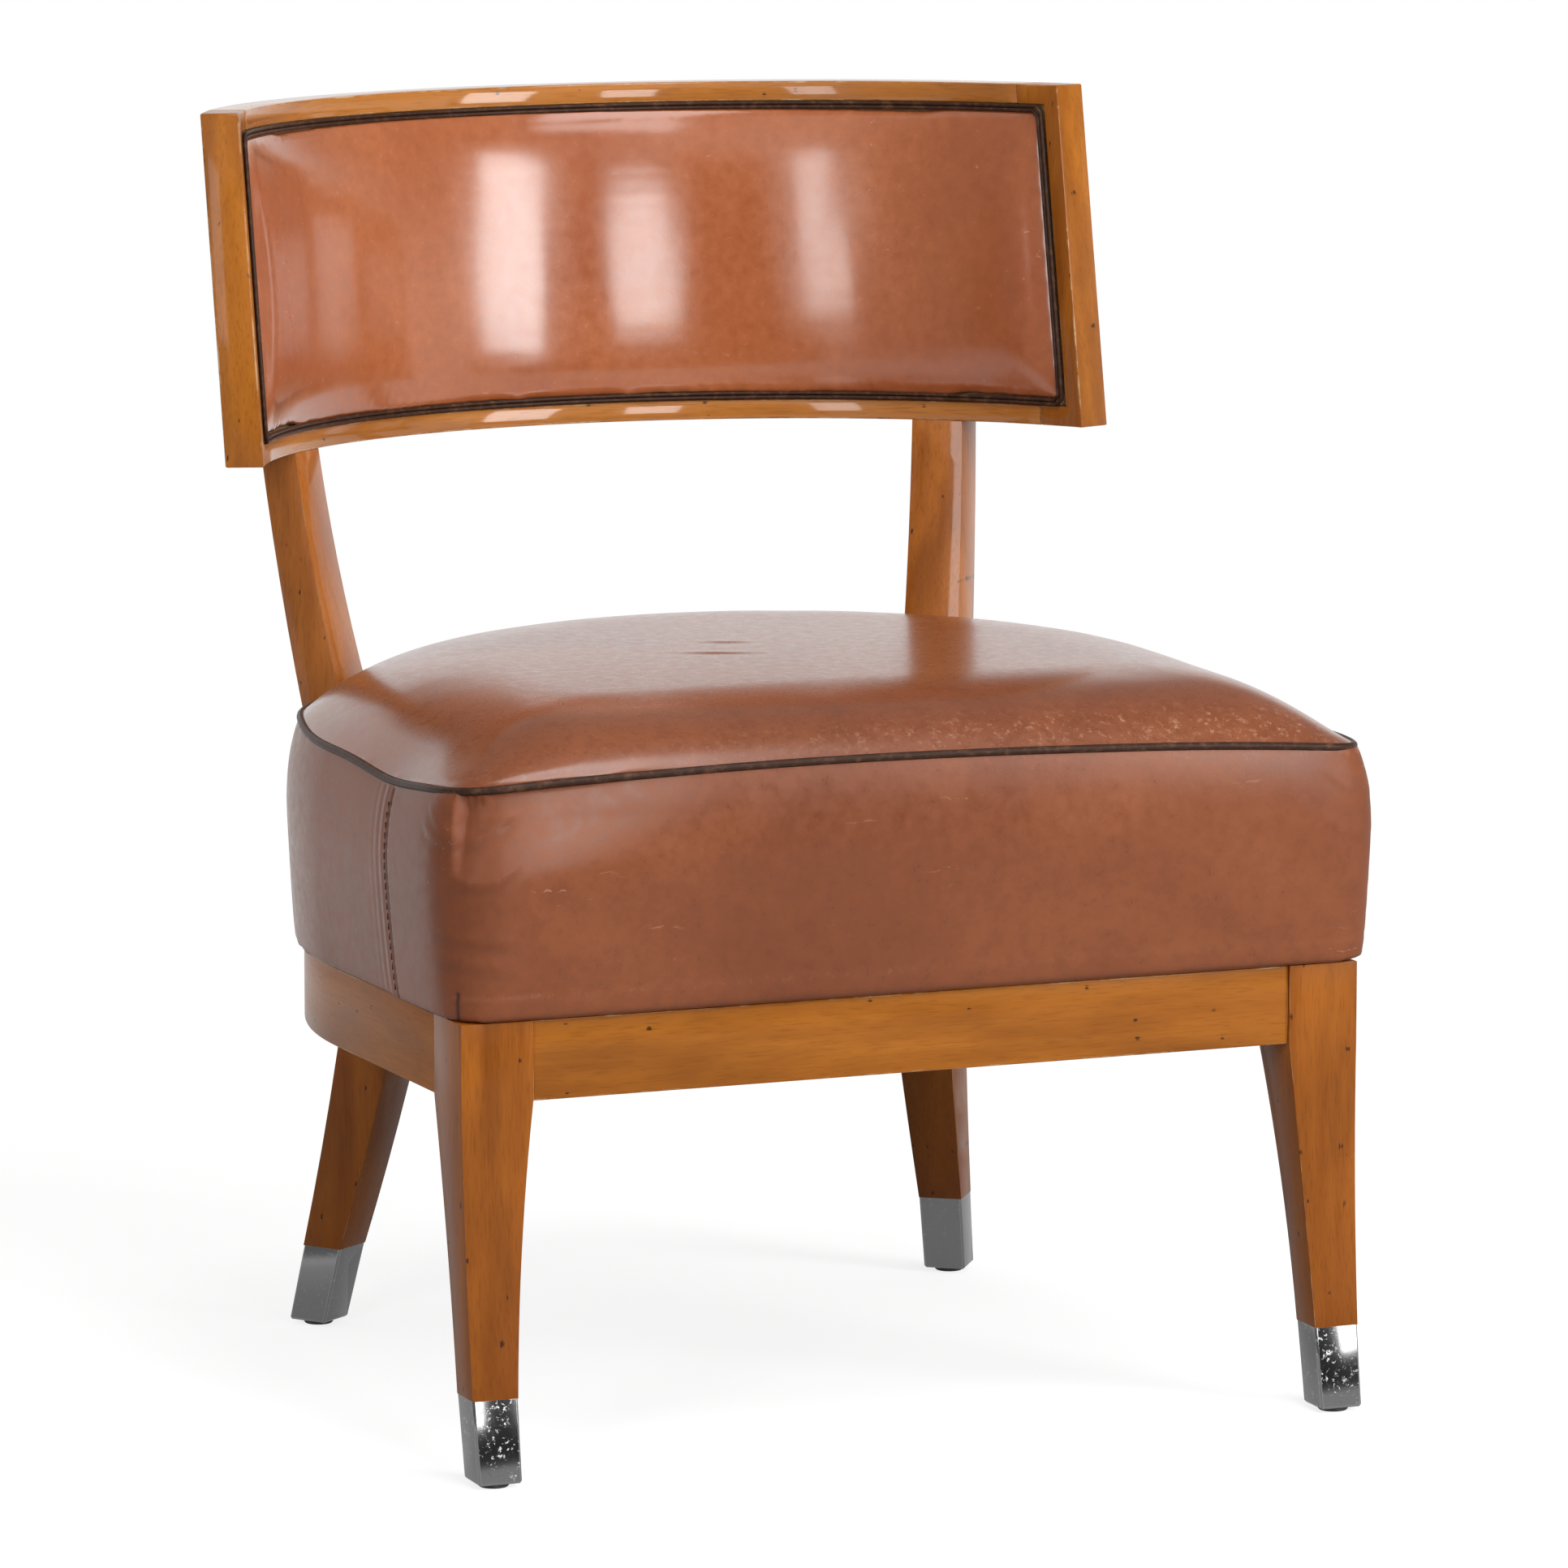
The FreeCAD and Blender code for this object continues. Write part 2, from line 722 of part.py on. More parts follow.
rail_right = side_rail(stile_right).fuse([rail_tenon(side_rail_front, 0), rail_tenon(side_rail_rear, 0)])
back_tongue = rail_tenon(back_rail_end, 0)
front_tongue = rail_tenon(front_rail_end, 0)
rail_rear = back_rail([stile_right, stile_left]).fuse([back_tongue, mirrored(back_tongue)])
rail_front = front_rail().fuse([front_tongue, mirrored(front_tongue)])
leg_right = leg_right.cut([rail_tenon(front_rail_end, joint_fit), rail_tenon(side_rail_front, joint_fit)])
stile_right = stile_right.cut([rail_tenon(side_rail_rear, joint_fit), rail_tenon(back_rail_end, joint_fit)])

screws = seat_screws()
block_right = front_block().cut(screws)
front_wall, left_wall, right_wall, back_wall = boxing_panels(notches)
back_top, back_bottom, end_left, end_right = back_rails()
pad_foam, pad_cover = pad_pieces()

pieces = {
    "front_leg_right": leg_right,
    "front_leg_left": mirrored(leg_right),
    "rear_stile_right": stile_right,
    "rear_stile_left": mirrored(stile_right),
    "front_rail": rail_front,
    "side_rail_right": rail_right,
    "side_rail_left": mirrored(rail_right),
    "back_rail": rail_rear,
    "corner_block_right": block_right,
    "corner_block_left": mirrored(block_right),
    "rear_block": rear_block().cut(screws),
    "seat_screws": Part.makeCompound(screws),
    "seat_base": seat_base(notches).cut(screws),
    "seat_webbing": webbing(notches),
    "seat_foam": seat_foam(notches),
    "seat_top_cover": crown_cover(notches),
    "seat_front_boxing": front_wall,
    "seat_side_boxing_left": left_wall,
    "seat_side_boxing_right": right_wall,
    "seat_back_boxing": back_wall,
    "seat_piping": seat_piping(notches),
    "seat_dust_cover": dust_cover(),
    "back_top_rail": back_top,
    "back_bottom_rail": back_bottom,
    "back_end_stile_left": end_left,
    "back_end_stile_right": end_right,
    "back_rear_panel": rear_panel(),
    "back_pad_board": pad_board(),
    "back_pad_foam": pad_foam,
    "back_pad_cover": pad_cover,
    "back_piping": back_piping(),
}
feet = {"front": front_foot, "rear": rear_foot}
for place, foot in feet.items():
    sabot = foot.sabot()
    pieces["sabot_" + place + "_right"] = sabot
    pieces["sabot_" + place + "_left"] = mirrored(sabot)
for name, solids in (("glides", [front_foot.glide(), rear_foot.glide()]),
                     ("sabot_pins", [front_foot.pin(), rear_foot.pin()])):
    pieces[name] = Part.makeCompound(solids + [mirrored(solid) for solid in solids])

# The origin is on the floor, midway between the front feet and the rearmost point of the back.
front_reach = pieces["sabot_front_right"].BoundBox.YMin
back_reach = pieces["back_top_rail"].BoundBox.YMax
to_origin = BACKWARD * -((front_reach + back_reach) / 2)

os.makedirs("parts", exist_ok=True)
for name, shape in pieces.items():
    shape.translate(to_origin)
    shape.exportStep("parts/" + name + ".step")
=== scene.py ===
import bpy
import math
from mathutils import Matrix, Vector
from mathutils.bvhtree import BVHTree


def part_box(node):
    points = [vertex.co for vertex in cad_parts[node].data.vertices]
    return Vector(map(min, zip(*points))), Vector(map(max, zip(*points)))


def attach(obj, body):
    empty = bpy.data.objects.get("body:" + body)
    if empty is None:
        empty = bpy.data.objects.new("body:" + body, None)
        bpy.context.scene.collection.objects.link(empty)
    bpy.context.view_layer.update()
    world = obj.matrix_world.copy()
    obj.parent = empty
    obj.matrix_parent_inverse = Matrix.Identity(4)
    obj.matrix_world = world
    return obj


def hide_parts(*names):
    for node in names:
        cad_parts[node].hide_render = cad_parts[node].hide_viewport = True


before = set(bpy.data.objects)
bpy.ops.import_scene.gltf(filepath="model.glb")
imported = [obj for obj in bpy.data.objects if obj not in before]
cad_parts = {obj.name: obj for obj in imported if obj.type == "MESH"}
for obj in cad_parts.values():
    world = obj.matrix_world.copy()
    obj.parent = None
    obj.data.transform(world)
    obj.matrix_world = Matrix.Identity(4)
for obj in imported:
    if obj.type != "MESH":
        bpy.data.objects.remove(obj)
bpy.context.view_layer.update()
scene = bpy.context.scene


# Front legs: sabre legs of stained beech, sawn to two profiles and varnished to a gloss.
# Their edges are eased by hand, and rubbing has worn the stain to pale lines along some of them.
LEG_SHADES = ((0.160, 0.040, 0.005, 1), (0.330, 0.090, 0.009, 1), (0.430, 0.135, 0.015, 1))
LEG_COAT = 0.1
BARE_EDGE = (0.560, 0.360, 0.190, 1)
GRIME = (0.045, 0.016, 0.006, 1)
# Heights between which the stain is drawn darker towards the bottom of each piece.
DARKER_FROM, DARKER_TO = 0.23, 0.06
EASED_EDGE = 0.0011
SHARP = math.radians(38)
FLAT = math.radians(0.4)
SAME_POINT = 0.00002


def feed(tree, socket, value):
    """Links a value to a socket, or sets it where it is a number or a colour."""
    if isinstance(value, bpy.types.NodeSocket):
        tree.links.new(value, socket)
    else:
        socket.default_value = value


def node(tree, kind, settings=None, **inputs):
    """Adds a shader node with its settings and inputs."""
    made = tree.nodes.new("ShaderNode" + kind)
    for key, value in (settings or {}).items():
        setattr(made, key, value)
    for key, value in inputs.items():
        feed(tree, made.inputs[key.replace("_", " ")], value)
    return made


def tint(tree, factor, first, second):
    """Colour between first and second."""
    mix = node(tree, "Mix", {"data_type": "RGBA"})
    for number, value in ((0, factor), (6, first), (7, second)):
        feed(tree, mix.inputs[number], value)
    return mix.outputs[2]


def spread(tree, value, low, high, to_low, to_high):
    """Maps a value from one range to another."""
    return node(tree, "MapRange", Value=value, From_Min=low, From_Max=high,
                To_Min=to_low, To_Max=to_high).outputs["Result"]


def maths(tree, operation, *values):
    """Result of a sum on sockets and numbers."""
    made = node(tree, "Math", {"operation": operation})
    for socket, value in zip(made.inputs, values):
        feed(tree, socket, value)
    return made.outputs[0]


def own_place(tree):
    return node(tree, "TexCoord").outputs["Object"]


def stretched(tree, place, scale, turn=(0, 0, 0)):
    """Place turned and stretched, for a pattern that runs one way."""
    return node(tree, "Mapping", Vector=place, Rotation=turn, Scale=scale).outputs[0]


def noise(tree, place, scale=1.0, detail=2.0, **more):
    """Cloudy pattern."""
    return node(tree, "TexNoise", Vector=place, Scale=scale, Detail=detail, **more).outputs["Fac"]


def raised(tree, height, strength, depth, under=None):
    """Surface bumped by a pattern, over another bump where there is one."""
    bump = node(tree, "Bump", Strength=strength, Distance=depth, Height=height)
    if under:
        tree.links.new(under, bump.inputs["Normal"])
    return bump.outputs[0]


def new_finish(name):
    material = bpy.data.materials.new(name)
    material.use_nodes = True
    return material, material.node_tree, material.node_tree.nodes["Principled BSDF"]


def dress(tree, shader, colour, roughness, surface=None, **constants):
    """Gives a shader its colour, roughness and bumped surface, and values that are the same all over."""
    feed(tree, shader.inputs["Base Color"], colour)
    feed(tree, shader.inputs["Roughness"], roughness)
    if surface:
        tree.links.new(surface, shader.inputs["Normal"])
    for key, value in constants.items():
        shader.inputs[key.replace("_", " ")].default_value = value


def varnished_beech(name, shades, coat, worn=False):
    """Stained beech under gloss varnish. A worn finish is rubbed pale, for the eased edges."""
    material, tree, shader = new_finish(name)
    dark, middle, light = shades
    grain = node(tree, "Attribute", {"attribute_name": "grain"}).outputs["Vector"]
    streaks = noise(tree, stretched(tree, grain, (2.4, 70.0, 70.0)), 1.0, 6.0, Roughness=0.62, Distortion=0.5)
    pores = noise(tree, stretched(tree, grain, (60.0, 900.0, 900.0)))
    clouds = noise(tree, stretched(tree, grain, (7.0, 34.0, 34.0)), 1.0, 4.0, Roughness=0.55)
    stain = tint(tree, spread(tree, streaks, 0.3, 0.72, 0.0, 1.0), middle, light)
    stain = tint(tree, spread(tree, clouds, 0.34, 0.56, 0.55, 0.0), stain, dark)
    height = node(tree, "SeparateXYZ", Vector=own_place(tree)).outputs["Z"]
    # The stain is drawn darker towards the bottom of each piece, from 0.23 m down to 0.06 m.
    stain = tint(tree, spread(tree, height, DARKER_FROM, DARKER_TO, 0.0, 0.42), stain, dark)
    stain = tint(tree, spread(tree, pores, 0.34, 0.46, 0.35, 0.0), stain, dark)
    fleck_map = stretched(tree, grain, (34.0, 65.0, 65.0), (math.pi / 4, 0, 0))
    flecks = node(tree, "TexVoronoi", {"voronoi_dimensions": "2D"}, Vector=fleck_map, Scale=1.0)
    ragged = maths(tree, "MULTIPLY_ADD", pores, 0.22, flecks.outputs["Distance"])
    small = spread(tree, ragged, 0.135, 0.165, 1.0, 0.0)
    chosen = node(tree, "SeparateColor", Color=flecks.outputs["Color"]).outputs[0]
    few = spread(tree, chosen, 0.64, 0.68, 0.0, 0.9)
    stain = tint(tree, maths(tree, "MULTIPLY", small, few), stain, GRIME)
    if worn:
        rubbed = noise(tree, stretched(tree, grain, (26.0, 8.0, 8.0)), 1.0, 5.0, Roughness=0.7)
        stain = tint(tree, spread(tree, rubbed, 0.40, 0.30, 0.0, 0.7), stain, GRIME)
        stain = tint(tree, spread(tree, rubbed, 0.50, 0.62, 0.0, 0.9), stain, BARE_EDGE)
    ripple = raised(tree, noise(tree, grain, 28.0), 0.10, 0.0012)
    surface = raised(tree, pores, 0.12, 0.0002, ripple)
    dress(tree, shader, stain, spread(tree, clouds, 0.3, 0.7, 0.26, 0.40), surface,
          Specular_IOR_Level=0.12, Coat_Weight=coat, Coat_Roughness=0.07)
    return material


def only(piece):
    """Makes a piece the single selected and active object."""
    bpy.ops.object.select_all(action="DESELECT")
    piece.select_set(True)
    bpy.context.view_layer.objects.active = piece


def added(name, data):
    """New object in the scene."""
    piece = bpy.data.objects.new(name, data)
    scene.collection.objects.link(piece)
    return piece


def joined(pieces):
    """Joins pieces into the first of them."""
    only(pieces[0])
    for piece in pieces:
        piece.select_set(True)
    if len(pieces) > 1:
        bpy.ops.object.join()
    return bpy.context.view_layer.objects.active


def edit_all(piece):
    """Opens a piece in edit mode with all of it selected."""
    only(piece)
    bpy.ops.object.mode_set(mode="EDIT")
    bpy.ops.mesh.select_all(action="SELECT")


def close_edit():
    bpy.ops.object.mode_set(mode="OBJECT")


def give(piece, *finishes):
    """Gives a piece its finishes, in place of any that it has."""
    piece.data.materials.clear()
    for finish in finishes:
        piece.data.materials.append(finish)


def copy_of(name, *nodes):
    """New piece from the merged meshes of CAD nodes."""
    piece = joined([added(name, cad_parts[source].data.copy()) for source in nodes])
    piece.name = name
    piece.data.materials.clear()
    bpy.ops.mesh.customdata_custom_splitnormals_clear()
    edit_all(piece)
    bpy.ops.mesh.remove_doubles(threshold=SAME_POINT)
    close_edit()
    return piece


def eased_copy(node_name, radius, face_finish, edge_finish):
    """Copy of a rigid CAD piece with its sharp edges eased. The eased strips get their own finish."""
    piece = copy_of(node_name + "_eased", node_name)
    edit_all(piece)
    bpy.ops.mesh.dissolve_limited(angle_limit=FLAT)
    close_edit()
    give(piece, face_finish, edge_finish)
    ease = piece.modifiers.new("ease", "BEVEL")
    ease.width = radius
    ease.segments = 2
    ease.limit_method = "ANGLE"
    ease.angle_limit = SHARP
    ease.material = 1
    bpy.ops.object.modifier_apply(modifier=ease.name)
    bpy.ops.object.shade_smooth_by_angle(angle=SHARP)
    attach(piece, "root")
    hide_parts(node_name)
    return piece


def lay_grain(piece, along, shift):
    """Stores for each point its place along the grain, then across it twice."""
    values = []
    for point in piece.data.vertices:
        run, across, deep = along(point.co)
        values += [run + shift, across + shift, deep]
    grain = piece.data.attributes.new("grain", "FLOAT_VECTOR", "POINT")
    grain.data.foreach_set("vector", values)


def upright(co):
    return co.z, co.x, co.y


beech = varnished_beech("varnished_beech", LEG_SHADES, LEG_COAT)
beech_edge = varnished_beech("rubbed_edge", LEG_SHADES, LEG_COAT, worn=True)
for number, side in enumerate(("left", "right")):
    leg = eased_copy("front_leg_" + side, EASED_EDGE, beech, beech_edge)
    lay_grain(leg, upright, 1.3 * number)


# Rear stiles: one piece each, bent from the flared foot through the seat rail to the back's lower rail.
# They are of the same beech as the legs, with the grain running up the bend. Hands keep them polished
# above the seat, where their stain is painted lighter than the legs': painted light for the brighter light
# there.
# Painted light: a lighter stain than the legs', for the stiles above the seat, where more light falls.
POST_SHADES_PAINTED_LIGHT = ((0.190, 0.050, 0.007, 1), (0.385, 0.110, 0.014, 1), (0.485, 0.160, 0.024, 1))
POST_COAT = 0.6
POST_FOOT = 0.395

post_beech = varnished_beech("hand_polished_beech_painted_light", POST_SHADES_PAINTED_LIGHT, POST_COAT)
post_edge = varnished_beech("hand_polished_edge_painted_light", POST_SHADES_PAINTED_LIGHT, POST_COAT, worn=True)
for number, side in enumerate(("left", "right")):
    stile = eased_copy("rear_stile_" + side, EASED_EDGE, beech, beech_edge)
    edit_all(stile)
    bpy.ops.mesh.bisect(plane_co=(0, 0, POST_FOOT), plane_no=(0, 0, 1))
    close_edit()
    stile.data.materials.append(post_beech)
    stile.data.materials.append(post_edge)
    # Faces above the seat take the polished finish with its painted-light, lighter stain.
    for face in stile.data.polygons:
        if face.center.z > POST_FOOT:
            face.material_index += 2
    lay_grain(stile, upright, 2.6 + 1.1 * number)


# Seat rails: a straight front rail a little behind the legs' faces, side rails that curve in to the stiles,
# and a curved rail behind. Tenons join them to the legs, and their grain follows the curve.
# Lighter than the legs' stain: partly paler wood and partly painted light, for the light that falls on the
# rails from above.
RAIL_SHADES_PARTLY_PAINTED_LIGHT = ((0.200, 0.054, 0.006, 1), (0.370, 0.112, 0.010, 1), (0.470, 0.160, 0.018, 1))
RAIL_COAT = 0.15
HOOP_CENTRE_Y = -0.0956
HOOP_RADIUS = 0.304


def crosswise(co):
    return co.x, co.z, co.y


def round_the_seat(co):
    """Grain that runs straight along the sides and round the back of the seat."""
    if co.y < HOOP_CENTRE_Y:
        return math.copysign(math.pi / 2 * HOOP_RADIUS + HOOP_CENTRE_Y - co.y, co.x), co.z, abs(co.x)
    turn = math.atan2(co.x, co.y - HOOP_CENTRE_Y)
    return turn * HOOP_RADIUS, co.z, math.hypot(co.x, co.y - HOOP_CENTRE_Y)


rail_beech = varnished_beech("golden_beech", RAIL_SHADES_PARTLY_PAINTED_LIGHT, RAIL_COAT)
rail_edge = varnished_beech("golden_edge", RAIL_SHADES_PARTLY_PAINTED_LIGHT, RAIL_COAT, worn=True)
lay_grain(eased_copy("front_rail", EASED_EDGE, rail_beech, rail_edge), crosswise, 5.2)
for number, rail_name in enumerate(("side_rail_left", "side_rail_right", "back_rail")):
    rail = eased_copy(rail_name, EASED_EDGE, rail_beech, rail_edge)
    lay_grain(rail, round_the_seat, 6.4 + 0.8 * number)


# Sabots: drawn metal shoes, polished and plated, pinned to the feet of the legs.
# Years of kicks have left chips and scratches in the polish, most on the front pair. The rear pair's fewer
# bright chips are also painted shade, for the shade under the seat.
PLATING = (0.245, 0.245, 0.25, 1)
# Painted highlight: the sabots' eased edges get a paler plating, for the bright line of light along their
# lips.
PLATING_PAINTED_HIGHLIGHT = (0.55, 0.55, 0.55, 1)
CHIPPED = (0.78, 0.78, 0.77, 1)
SABOT_EDGE = 0.0006


def scuffed_plating(name, plate, chips):
    """Plated metal with nicks in patches. chips is how many of the nicks are bare."""
    material, tree, shader = new_finish(name)
    place = own_place(tree)
    nicks = noise(tree, place, 330.0, 6.0, Roughness=0.75)
    patches = noise(tree, place, 34.0)
    scored = noise(tree, stretched(tree, place, (900.0, 900.0, 60.0), (0.3, 0.5, 0.2)))
    chip = maths(tree, "MULTIPLY", spread(tree, nicks, 0.585, 0.66, 0.0, 1.0),
                 spread(tree, patches, 0.38, 0.56, 0.0, chips))
    surface = raised(tree, chip, 0.3, 0.0003, raised(tree, scored, 0.05, 0.0002))
    dress(tree, shader, tint(tree, chip, plate, CHIPPED), spread(tree, chip, 0.0, 1.0, 0.13, 0.5), surface,
          Metallic=1.0)
    return material


plating = scuffed_plating("scuffed_plating", PLATING, 0.8)
# Painted highlight along the sabots' eased edges.
plating_edge = scuffed_plating("plating_painted_edge_highlight", PLATING_PAINTED_HIGHLIGHT, 0.4)
# Painted shade: fewer bright chips on the rear pair, which stand in the shade under the seat.
rear_plating = scuffed_plating("less_chipped_plating_painted_shade", PLATING, 0.2)
for place in ("front_left", "front_right", "rear_left", "rear_right"):
    shell = plating if "front" in place else rear_plating
    eased_copy("sabot_" + place, SABOT_EDGE, shell, plating_edge)
give(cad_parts["sabot_pins"], plating)


# Glides: turned pads of dark nylon, each with a nail moulded into it.
# The nail is driven through the sabot's floor into the leg, and the pad has gone dusty.
GLIDE_GREY = (0.035, 0.033, 0.030, 1)
GLIDE_DUST = (0.120, 0.110, 0.095, 1)


def two_tone(name, pattern, low, high, first, second, roughness, bump=None, most=1.0, **constants):
    """Finish that turns from one colour to another with a pattern, which may also roughen and raise it."""
    material, tree, shader = new_finish(name)
    value = pattern(tree)
    if isinstance(roughness, tuple):
        roughness = spread(tree, value, 0.3, 0.7, *roughness)
    surface = raised(tree, value, *bump) if bump else None
    dress(tree, shader, tint(tree, spread(tree, value, low, high, 0.0, most), first, second), roughness,
          surface, **constants)
    return material


nylon = two_tone("dusty_nylon", lambda tree: noise(tree, own_place(tree), 240.0, 4.0), 0.45, 0.7,
                 GLIDE_GREY, GLIDE_DUST, (0.45, 0.7))
give(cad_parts["glides"], nylon)


# Glue blocks: rough beech offcuts glued behind the rails, with the seat's screws up through them.
# The screws are zinc plated.
BLOCK_PALE = (0.42, 0.27, 0.14, 1)
BLOCK_DARK = (0.27, 0.15, 0.07, 1)
ZINC = (0.62, 0.58, 0.46, 1)
ZINC_DULL = (0.40, 0.38, 0.33, 1)


def sawn_fibres(tree):
    return noise(tree, stretched(tree, own_place(tree), (12.0, 160.0, 160.0)), 1.0, 5.0)


bare_beech = two_tone("bare_beech", sawn_fibres, 0.35, 0.65, BLOCK_DARK, BLOCK_PALE, 0.8, bump=(0.3, 0.0004))
for block in ("corner_block_left", "corner_block_right", "rear_block"):
    give(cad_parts[block], bare_beech)
zinc = two_tone("zinc_plate", lambda tree: noise(tree, own_place(tree), 300.0, 3.0), 0.35, 0.65,
                ZINC, ZINC_DULL, (0.3, 0.5), Metallic=1.0)
give(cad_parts["seat_screws"], zinc)


# Plywood: the seat's base and the bent board inside the back pad, of bare birch veneers.
# The base is screwed down on the glue blocks. It is cut a little short, so that the cover turns under it.
PLY_PALE = (0.56, 0.40, 0.22, 1)
PLY_DARK = (0.40, 0.26, 0.13, 1)
BASE_SHARE = 0.978


def veneer_figure(tree):
    return noise(tree, stretched(tree, own_place(tree), (6.0, 60.0, 500.0)), 1.0, 5.0, Distortion=0.8)


plywood = two_tone("birch_plywood", veneer_figure, 0.35, 0.65, PLY_DARK, PLY_PALE, 0.72, bump=(0.2, 0.0003))
give(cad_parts["back_pad_board"], plywood)
base_board = copy_of("seat_base_board", "seat_base")
edit_all(base_board)
bpy.ops.transform.resize(value=(BASE_SHARE, BASE_SHARE, 1), center_override=(0, HOOP_CENTRE_Y, 0))
close_edit()
give(base_board, plywood)
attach(base_board, "root")
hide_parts("seat_base")


# Webbing: straps woven of jute yarn, which carry the foam over the opening in the plywood.
# They are pulled tight and stapled down, lengthwise first and then crosswise.
JUTE_PALE = (0.42, 0.31, 0.18, 1)
JUTE_DARK = (0.16, 0.105, 0.055, 1)
JUTE_PITCH = 0.0016


def weave(tree, pitch):
    """Over-and-under height of a plain weave on the object's own X and Y."""
    place = own_place(tree)
    threads = [node(tree, "TexWave", {"bands_direction": way}, Vector=place, Scale=math.pi / pitch / 10)
               for way in "XY"]
    return maths(tree, "MULTIPLY", threads[0].outputs["Fac"], threads[1].outputs["Fac"])


jute = two_tone("jute_webbing", lambda tree: weave(tree, JUTE_PITCH), 0.1, 0.7, JUTE_DARK, JUTE_PALE, 0.9,
                bump=(0.6, 0.0006))
give(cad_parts["seat_webbing"], jute)


# Dust cover: black cambric, cut to the inside of the frame and stapled up under the rails.
# It is stretched by hand, so it hangs a little slack in the middle.
CAMBRIC = (0.012, 0.012, 0.013, 1)
CAMBRIC_FUZZ = (0.045, 0.044, 0.043, 1)
CAMBRIC_PITCH = 0.0011
DUST_COVER_SAG = 0.003
DUST_COVER_STEP = 0.024


def pick(piece, chosen, kind="VERT"):
    """Opens a piece in edit mode with only those points, or faces, selected that pass a test."""
    only(piece)
    bpy.ops.object.mode_set(mode="EDIT")
    bpy.ops.mesh.select_mode(type=kind)
    bpy.ops.mesh.select_all(action="DESELECT")
    close_edit()
    for item in piece.data.vertices if kind == "VERT" else piece.data.polygons:
        item.select = chosen(item)
    bpy.ops.object.mode_set(mode="EDIT")


cambric = two_tone("black_cambric", lambda tree: weave(tree, CAMBRIC_PITCH), 0.1, 0.8, CAMBRIC, CAMBRIC_FUZZ,
                   0.95, bump=(0.4, 0.0004))
dust_cover = copy_of("dust_cover_cloth", "seat_dust_cover")
cloth_low, cloth_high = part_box("seat_dust_cover")
edit_all(dust_cover)
bpy.ops.mesh.dissolve_limited(angle_limit=math.radians(1))
close_edit()
pick(dust_cover, lambda face: face.normal.z > -0.9, "FACE")
bpy.ops.mesh.delete(type="FACE")
bpy.ops.mesh.select_mode(type="VERT")
for axis, low, high in (((1, 0, 0), cloth_low.x, cloth_high.x), ((0, 1, 0), cloth_low.y, cloth_high.y)):
    for cut in range(1, int((high - low) / DUST_COVER_STEP)):
        bpy.ops.mesh.select_all(action="SELECT")
        bpy.ops.mesh.bisect(plane_co=[c * (low + cut * DUST_COVER_STEP) for c in axis], plane_no=axis)
close_edit()
cloth_middle = (cloth_low + cloth_high) / 2
cloth_half = (cloth_high - cloth_low) / 2
for point in dust_cover.data.vertices:
    off = point.co - cloth_middle
    inside = max(0.0, 1 - (off.x / cloth_half.x) ** 2 - (off.y / cloth_half.y) ** 2)
    point.co.z = cloth_low.z - DUST_COVER_SAG * inside
body = dust_cover.modifiers.new("body", "SOLIDIFY")
body.thickness = cloth_high.z - cloth_low.z
body.offset = -1
bpy.ops.object.modifier_apply(modifier=body.name)
bpy.ops.object.shade_smooth_by_angle(angle=math.radians(30))
give(dust_cover, cambric)
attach(dust_cover, "root")
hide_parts("seat_dust_cover")


# Seat cushion: foam on the webbing under a tight cover of waxed cowhide, a top panel and four walls sewn
# together. The cover is drawn down over the plywood and turned under, so it swells between the piping and
# the rails.
HIDE_SHADES = ((0.105, 0.024, 0.008, 1), (0.205, 0.053, 0.016, 1), (0.285, 0.082, 0.027, 1))
HIDE_WORN = (0.560, 0.300, 0.180, 1)
SEAM_AND_SHADE_BLACK = (0.030, 0.010, 0.006, 1)
SEAT_BOTTOM = 0.285
PIPING_HEIGHT = 0.425
WALL_HEIGHT = PIPING_HEIGHT - SEAT_BOTTOM
PIPING_ARCH = 0.0092
PIPING_DROP = 0.014
PIPING_SAG = 0.0055
PIPING_SAG_Y = -0.205
SEAT_FRONT_Y = -0.3206
SEAT_HALF_WIDTH = 0.301
SEAT_DRIFT = 0.004
CORNER_RADII = {-1: 0.026, 1: 0.015}
SEAM_BACK = 0.0965
SEAM_SLANT = 0.010
LEFT_END = 0.13
SHOULDER_DRAW = 0.008
FRONT_RECESS = 0.012
FOOT_PROUD = 0.0052
BELLY_PROUD = 0.0108
BELLY_HEIGHT = 0.372
SEAM_PROUD = 0.0006
CROWN_HEIGHT = 0.041
SIDE_ROLL = 0.135
FRONT_ROLL = 0.115
POST_CLEAR = 0.006
POST_FADE = 0.012
POSTS_FROM_Y = 0.04
SEAT_VOXEL = 0.006
SEAT_SLACK = 0.001
SEAT_CAP = 0.004
SEAT_TAUTNESS = 0.8
HIDE_THICKNESS = 0.0012
CLOTH_STEPS = 20


